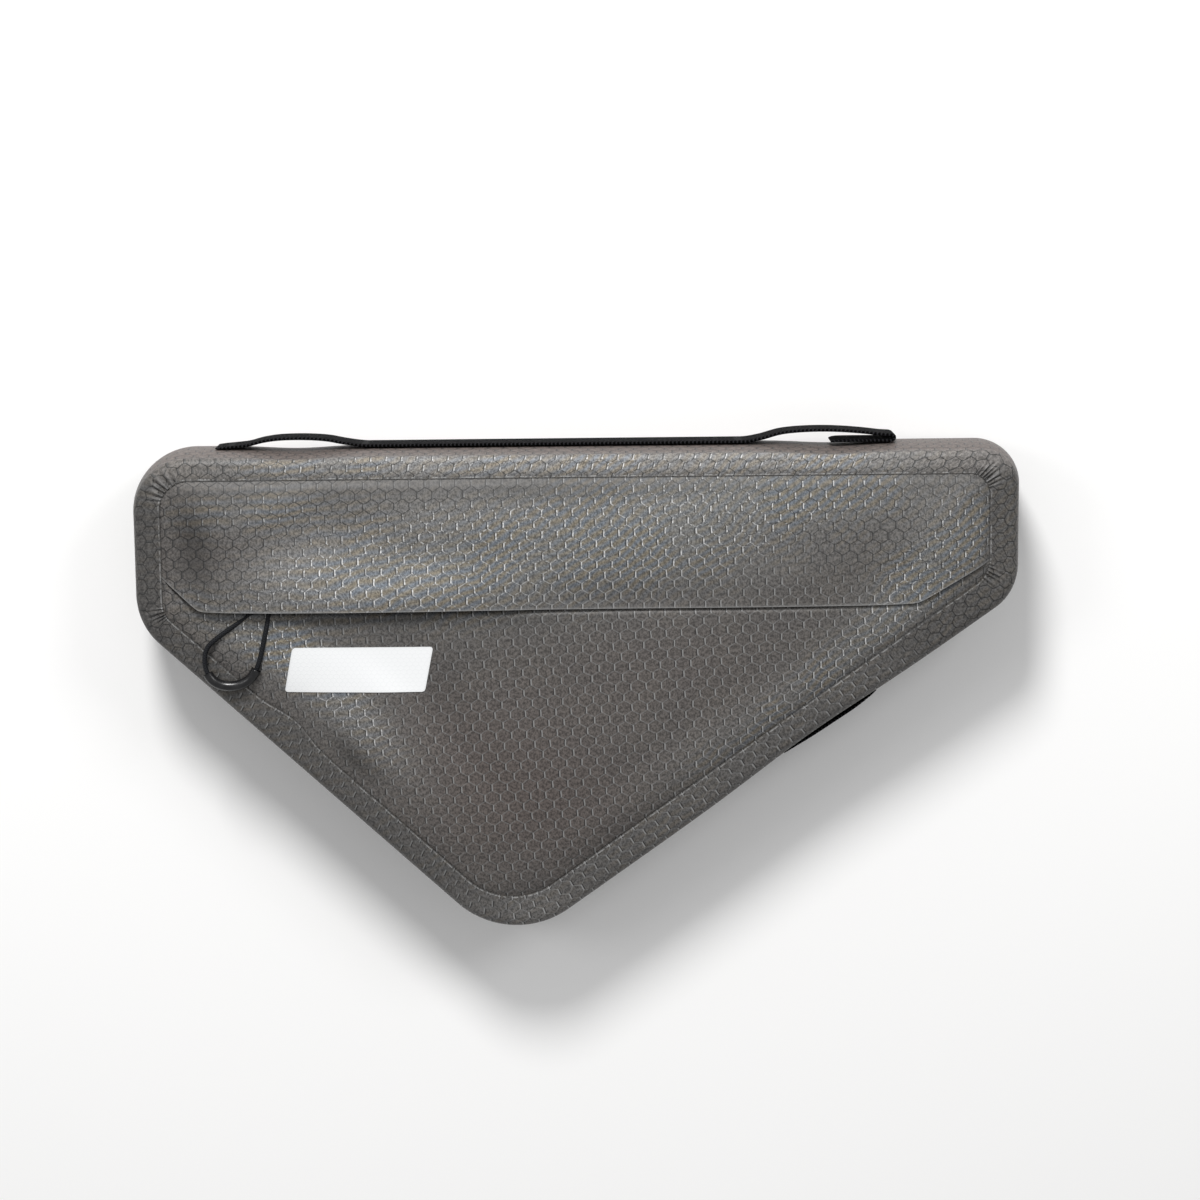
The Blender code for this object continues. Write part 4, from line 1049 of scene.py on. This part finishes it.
def make_back_panel():
    """Back panel: flat on the floor inside the border, stepped up to run in under the lip."""
    rows, columns = BACK_GRID
    bottom = TUCKED_BOTTOM + BOTTOM_MARGIN
    share = np.linspace(0, 1, rows)
    share = share - BACK_EASE * np.sin(2 * math.pi * share)
    nominal = bottom + share * (TUCKED_TOP - bottom)
    x = wide_rows(nominal, nominal, columns)
    y = np.broadcast_to(nominal[:, None], x.shape)
    inside = depth_inside(x, y)
    top = BACK_LIFT + CLOTH - BACK_LIFT * smooth(inside, 0.0003, SETTLE)
    piece = cloth_sheet("back_panel_cloth", x, y, top, inside, np.zeros(x.shape), 0)
    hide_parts("back_panel")


# Side band: radius of its front edge by side, and how many points a section takes
ROUNDING_BY_SIDE = (0.0045, 0.0060, 0.0060, 0.0060, 0.0060)
SIDE_CROWN = 0.0024     # how far the band's side stands out past its rounded edge
LIP_SLOPE = 0.0009      # drop of the border from the weld line to where it turns
LIP_BEND = 1.5
LIP_STEPS, ROUND_STEPS, SIDE_STEPS = 16, 12, 10
# Crimps at the corners. Columns: side after the corner, number, depth in metres
CRIMP_ROWS = (
    (TOP_EDGE, 9, 0.0008),
    (RIGHT_EDGE, 10, 0.0009),
    (LOWER_RIGHT_EDGE, 8, 0.0007),
    (LOWER_LEFT_EDGE, 13, 0.00025),
    (LEFT_EDGE, 8, 0.0006),
)
CRIMP_REACH = 0.0075
CRIMP_HIGHLIGHT_DEPTH = 0.0008
CRIMP_WANDER = ((0.9, 9.0), (0.5, 23.0))    # how far and how fast their spacing strays
CRIMP_HEIGHTS = (0.7 * BAG_DEPTH, 0.9 * BAG_DEPTH)
BAND_CORE = (0.02, BAG_DEPTH / 2)           # a place inside every section


def band_sections():
    """Points of the side band: one closed section for each point of the crest's loop.

    A section runs from the lip's edge on the front over the rounded edge, down the crowned
    side to the lip of the back, then back along the inside of the cloth. Crimps fan out from
    the weld line's corners. Returns the sections, their profiles, the weld line, the crest
    and how far each point is on a crimp's ridge.
    """
    crest, sides, shares = outer_loop()
    border = border_loop(FINE_ARCS, FINE_SIDES)
    width = np.linalg.norm(border - crest, axis=1)[:, None]
    on_arc = shares < 0
    rounding = np.array(ROUNDING_BY_SIDE)
    ahead, behind = rounding[sides], rounding[sides - 1]
    radius = np.where(on_arc, behind + (ahead - behind) * smooth(shares, -1, 0), ahead)[:, None]
    stray = sum(reach * np.sin(pace * shares) for reach, pace in CRIMP_WANDER)
    crimp = np.zeros(len(crest))
    for side, count, depth in CRIMP_ROWS:
        ray = depth * np.cos(2 * math.pi * count * shares + stray) * np.sin(math.pi * shares) ** 2
        crimp = np.where(on_arc & (sides == side), ray, crimp)
    crimp = crimp[:, None]
    lip = np.linspace(0, 1, LIP_STEPS)
    turn = np.linspace(0, math.pi / 2, ROUND_STEPS)[1:]
    side = np.linspace(1, 0, SIDE_STEPS)[1:]
    inset = np.hstack([
        width - (width - SIDE_CROWN - radius) * lip,
        SIDE_CROWN + radius * (1 - np.sin(turn)),
        np.tile(SIDE_CROWN * side**2, (len(crest), 1)),
    ])
    height = np.hstack([
        np.tile(BAG_DEPTH - LIP_SLOPE * lip**LIP_BEND, (len(crest), 1)),
        BAG_DEPTH - radius * (1 - np.cos(turn)) - LIP_SLOPE * np.cos(turn),
        BAG_DEPTH / 2 + (BAG_DEPTH / 2 - radius) * side,
    ])
    fade = np.exp(-((width - inset) / CRIMP_REACH) ** 2)
    front = np.dstack([inset, height + crimp * fade * smooth(height, *CRIMP_HEIGHTS)])
    back = np.dstack([inset, BAG_DEPTH - height])[:, -2::-1]
    outer = np.concatenate([front, back], axis=1)
    slope = np.gradient(outer, axis=1)
    normal = unit(np.dstack([slope[..., 1], -slope[..., 0]]))
    outwards = np.sum(normal * (outer - BAND_CORE), axis=2, keepdims=True) > 0
    inner = (outer + np.where(outwards, -normal, normal) * LIP)[:, ::-1]
    profile = np.concatenate([outer, inner], axis=1)
    sections = np.empty((*profile.shape[:2], 3))
    sections[..., :2] = crest[:, None] + unit(border - crest)[:, None] * profile[..., :1]
    sections[..., 2] = profile[..., 1]
    ridge = np.zeros(profile.shape[:2])
    # How far the crimps' ridges get a painted highlight
    shown = np.clip(crimp / CRIMP_HIGHLIGHT_DEPTH, 0, 1) ** 2 * fade * (height > BAG_DEPTH / 2)
    ridge[:, :shown.shape[1]] = shown
    return sections, profile, border, crest, ridge


# Looks of the band: where its front, its strip below the crest and its low part begin and end
BAND_FRONT, BAND_TOP, BAND_LOW = (0.050, 0.0555), (0.016, 0.008), (-0.03, 0.0)
# Painted sheen, yarns painted lit or shaded, and painted light and shade on the band, by place
# Columns: place in metres, amount
TOP_PAINTED_SHEEN_ROWS = ((0.13, 0.48), (0.215, 0.0))
TOP_PAINTED_LIGHT_ROWS = ((-0.16, 0.46), (-0.06, 0.90), (0.08, 0.90), (0.16, 0.80))
END_PAINTED_LIGHT_AND_SHADE_ROWS = ((-0.215, -0.25), (-0.195, 0.0), (0.195, 0.0), (0.215, 0.02))
TIP_PAINTED_LIGHT_ROWS = ((-0.115, 0.36), (-0.095, 0.0))
BORDER_PAINTED_SHEEN, BORDER_YARN_LIGHT, BORDER_PAINTED_SHADE = 0.24, -0.60, -0.34
LOW_LEFT_YARN_LIGHT, LOW_RIGHT_YARN_LIGHT, LOW_RIGHT_PAINTED_LIGHT = 0.85, 1.20, 0.16
TOP_SIDE_YARN_LIGHT, TOP_SIDE_PAINTED_LIGHT, RIDGE_HIGHLIGHT_SHARE = -0.9, 0.46, 0.8


def make_gusset_band():
    """Side band: its closed sections joined round the bag. UV: run round it and run across it."""
    sections, profile, border, crest, ridge = band_sections()
    count, around = sections.shape[:2]
    middle = (border + crest) / 2
    run = run_length(np.vstack([middle, middle[:1]])) / MM
    step = np.linalg.norm(np.diff(profile[:, :around // 2], axis=1), axis=2)
    across = np.concatenate([np.zeros((count, 1)), np.cumsum(step, axis=1)], axis=1) / MM
    across = np.concatenate([across, across[:, ::-1]], axis=1)
    quads = grid_quads(count, around, wrap_rows=True, wrap_columns=True)
    rows, columns = np.divmod(quads, around)
    wrapped = (rows == 0) & (rows.max(axis=1)[:, None] == count - 1)
    uv = np.stack([np.where(wrapped, run[-1], run[rows]), -across[rows, columns]], axis=-1)
    x, y, z = np.moveaxis(sections, 2, 0)
    width = np.linalg.norm(border - crest, axis=1)[:, None]
    on_front = smooth(z, *BAND_FRONT)
    high = smooth(CREST - y, *BAND_TOP)
    low = smooth(-y, *BAND_LOW)
    right = x > TIP_OFFSET
    on_top = high * (1 - on_front)
    marks = cloth_marks(x, y, profile[..., 0] - width, RIDGE_HIGHLIGHT_SHARE * ridge)
    # Painted sheen on the band's front, more of it on the top border
    top_painted_sheen = eased_table(TOP_PAINTED_SHEEN_ROWS, np.abs(x))
    marks["painted_sheen"] = on_front * (top_painted_sheen * high + BORDER_PAINTED_SHEEN * (1 - high))
    # Yarns painted shaded on the front border and the top side, painted lit low down
    low_yarn_light = low * np.where(right, LOW_RIGHT_YARN_LIGHT, LOW_LEFT_YARN_LIGHT)
    marks["painted_yarn_light"] = on_front * (BORDER_YARN_LIGHT + low_yarn_light) + TOP_SIDE_YARN_LIGHT * on_top
    # Painted light on the top border, the top side, the tip and the low right; painted shade on
    # the other borders and at the left end
    top_painted_light = eased_table(TOP_PAINTED_LIGHT_ROWS, x)
    marks["painted_light_and_shade"] = (
        on_front * (top_painted_light * high + BORDER_PAINTED_SHADE * (1 - high)) + TOP_SIDE_PAINTED_LIGHT * on_top
        + eased_table(END_PAINTED_LIGHT_AND_SHADE_ROWS, x) + eased_table(TIP_PAINTED_LIGHT_ROWS, y)
        + LOW_RIGHT_PAINTED_LIGHT * low * right)
    marks["brown"] = on_top
    piece = new_piece("gusset_band_cloth", sections, [quads], "coated_cloth", uv, marks)
    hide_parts("gusset_band")


WEBBING_STEPS, WEBBING_GATHER = 25, 0.8
TACK_REACH, TACK_WIDTH = 0.0016, 0.42 * WEBBING_WIDTH
MELT_REACH, MELT_SHARE = 0.0006, 0.4


def ribbon(name, path, bar_tacks, slim):
    """Webbing along a path in x and y: a flat section with soft edges, its bag side in place.

    Section: across the width z = w/2 * s, thickness t/2 * (1 - |s|^8)^(1/4) either side, times
    the share in slim at that point of the path.
    """
    tangent = unit(np.gradient(path, axis=0))
    normal = np.column_stack([-tangent[:, 1], tangent[:, 0]])
    share = np.sin(np.linspace(-math.pi / 2, math.pi / 2, WEBBING_STEPS))
    share = np.sign(share) * np.abs(share)**WEBBING_GATHER
    thick = (1 - share**8) ** (1 / 4) * WEBBING_THICKNESS / 2
    width = np.concatenate([share, share[-2:0:-1]]) * WEBBING_WIDTH / 2
    side = np.concatenate([thick, -thick[-2:0:-1]])
    around = len(width)
    outward = np.sign(np.sum(normal * path, axis=1)) * (1 - slim)
    height = side * slim[:, None] - outward[:, None] * WEBBING_THICKNESS / 2
    sections = np.empty((len(path), around, 3))
    sections[..., :2] = path[:, None] + normal[:, None] * height[..., None]
    sections[..., 2] = BAG_DEPTH / 2 + width
    run = run_length(path)
    quads = grid_quads(len(path), around, wrap_columns=True)
    caps = [np.arange(around)[None, ::-1], (len(path) - 1) * around + np.arange(around)[None]]
    uv = np.dstack(np.broadcast_arrays(run[:, None], width)) / MM
    away = np.abs(run[:, None] - np.array(bar_tacks)).min(axis=1)[:, None]
    melted = np.exp(-np.minimum(run, run[-1] - run) / MELT_REACH)[:, None]
    stitch = (away < TACK_REACH) * (np.abs(width) < TACK_WIDTH) + MELT_SHARE * melted
    marks = {"stitch": np.clip(stitch, 0, 1)}
    return new_piece(name, sections, [quads, *caps], "webbing", uv, marks)


def make_top_webbing():
    """Webbing on the top edge, with a raised loop near each end and the right end folded under."""
    seat = CREST + GAP + WEBBING_THICKNESS / 2
    points = []
    for rows, rise in (
        (WEBBING_LEFT_ROWS, LEFT_LOOP_RISE),
        (WEBBING_FLAT_ROWS, 0),
        (WEBBING_RIGHT_ROWS, RIGHT_LOOP_RISE),
    ):
        points += [(share * HALF_LENGTH, seat + height * rise) for share, height in rows]
    path = smooth_curve(points, 420)
    tacks = [place * HALF_LENGTH - path[0, 0] for place in BAR_TACKS]
    run = run_length(path)
    slim = 1 - 0.75 * np.exp(-run / 0.005) - 0.60 * np.exp(-(run[-1] - run) / 0.0016)
    piece = ribbon("top_webbing_weave", path, tacks, slim)
    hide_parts("top_webbing_left_loop", "top_webbing", "top_webbing_right_loop")


def make_lower_strap():
    """Short strap that lies on the band's lower right edge."""
    start, edge = edge_from(LOWER_RIGHT_EDGE)
    outward = -inward(unit(edge))
    seat = GAP + WEBBING_THICKNESS / 2
    points = [
        start + edge * share + outward * (seat + height * STRAP_BULGE - strap_dip(share))
        for share, height in STRAP_ROWS
    ]
    slim = 0.30 + 0.70 * np.sin(np.linspace(0, math.pi, 90)) ** 0.7
    piece = ribbon("lower_strap_weave", smooth_curve(points, len(slim)), STRAP_TACKS, slim)
    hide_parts("lower_strap")


PATCH_GRID = (29, 73)
PATCH_SEAT, PATCH_RIM_REACH = 0.00005, 0.0004


def make_patch():
    """Thin light film on the front panel: a leaning rectangle with rounded corners."""
    rows, columns = PATCH_GRID
    up = np.sin(np.linspace(-math.pi / 2, math.pi / 2, rows))[:, None] * PATCH_HEIGHT / 2
    into_arc = np.clip(np.abs(up) - (PATCH_HEIGHT / 2 - PATCH_RADIUS), 0, PATCH_RADIUS)
    half = PATCH_LENGTH / 2 - PATCH_RADIUS + np.sqrt(PATCH_RADIUS**2 - into_arc**2)
    middle = PATCH_MARGIN - HALF_LENGTH + PATCH_LEAN * up
    x = middle + np.linspace(-1, 1, columns) * half
    y = np.broadcast_to(CREST - PATCH_DROP + up, x.shape)
    low = front_height(x, y)[0] + PATCH_SEAT
    vertices, faces = wall(x, y, low + PATCH_THICKNESS, low)
    edge = np.minimum(half - np.abs(x - middle), PATCH_HEIGHT / 2 - np.abs(up))
    marks = {"rim": np.tile(np.exp(-edge / PATCH_RIM_REACH).ravel(), 2)}
    piece = new_piece("patch_film", vertices, faces, "patch_white", vertices[:, :2] / MM, marks)
    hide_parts("reflective_patch")


make_rain_flap()
make_front_panel()
make_back_panel()
make_gusset_band()
make_top_webbing()
make_lower_strap()
make_patch()

for node in ("zip_tape", "zip_slider"):
    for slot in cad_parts[node].material_slots:
        slot.material = MATERIALS["zip_black"]


# Studio. Columns of LIGHTS: name, place, size, power in watts, colour
FLOOR_SIZE = 8.0
LIGHTS = (
    ("high_key", (-0.34, 1.65, 1.36), 0.55, 40.0, (1.0, 0.995, 0.985)),
    ("left_key", (-1.25, 0.60, 1.50), 0.60, 4.0, (1.0, 1.0, 1.0)),
    ("right_key", (1.15, 1.05, 1.45), 0.70, 8.0, (1.0, 1.0, 1.0)),
)
FLOOR_DROP = 0.0003      # keeps the floor clear of the bag's back
FLOOR_COLORS = paint(0.90), paint(0.93)
LIT_POINT = (0.0, 0.0, 0.03)
SURROUND_STRENGTH = 0.42


def make_studio():
    """Pale floor, three soft lights that face the bag and an even pale surround."""
    mesh = bpy.data.meshes.new("floor")
    half = FLOOR_SIZE / 2
    corners = [(-half, -half, 0), (half, -half, 0), (half, half, 0), (-half, half, 0)]
    mesh.from_pydata(corners, [], [(0, 1, 2, 3)])
    floor = bpy.data.objects.new("floor", mesh)
    floor.location = (0.0, 0.0, -FLOOR_DROP)
    graph = Graph("floor_look")
    color = graph.mix(graph.noise(graph.place(), 1.2), *FLOOR_COLORS)
    mesh.materials.append(graph.finish(color, 0.9))
    bpy.context.collection.objects.link(floor)
    for name, place, size, power, color in LIGHTS:
        light = bpy.data.lights.new(name, "AREA")
        light.shape = "DISK"
        light.size = size
        light.energy = power
        light.color = color
        lamp = bpy.data.objects.new(name, light)
        lamp.location = place
        aim = Vector(LIT_POINT) - Vector(place)
        lamp.rotation_euler = aim.to_track_quat("-Z", "Y").to_euler()
        bpy.context.collection.objects.link(lamp)
    world = bpy.data.worlds.new("surround")
    world.use_nodes = True
    sky = world.node_tree.nodes["Background"].inputs
    sky["Color"].default_value = paint(1.0)
    sky["Strength"].default_value = SURROUND_STRENGTH
    bpy.context.scene.world = world
    bpy.context.scene.view_settings.view_transform = "Standard"


make_studio()
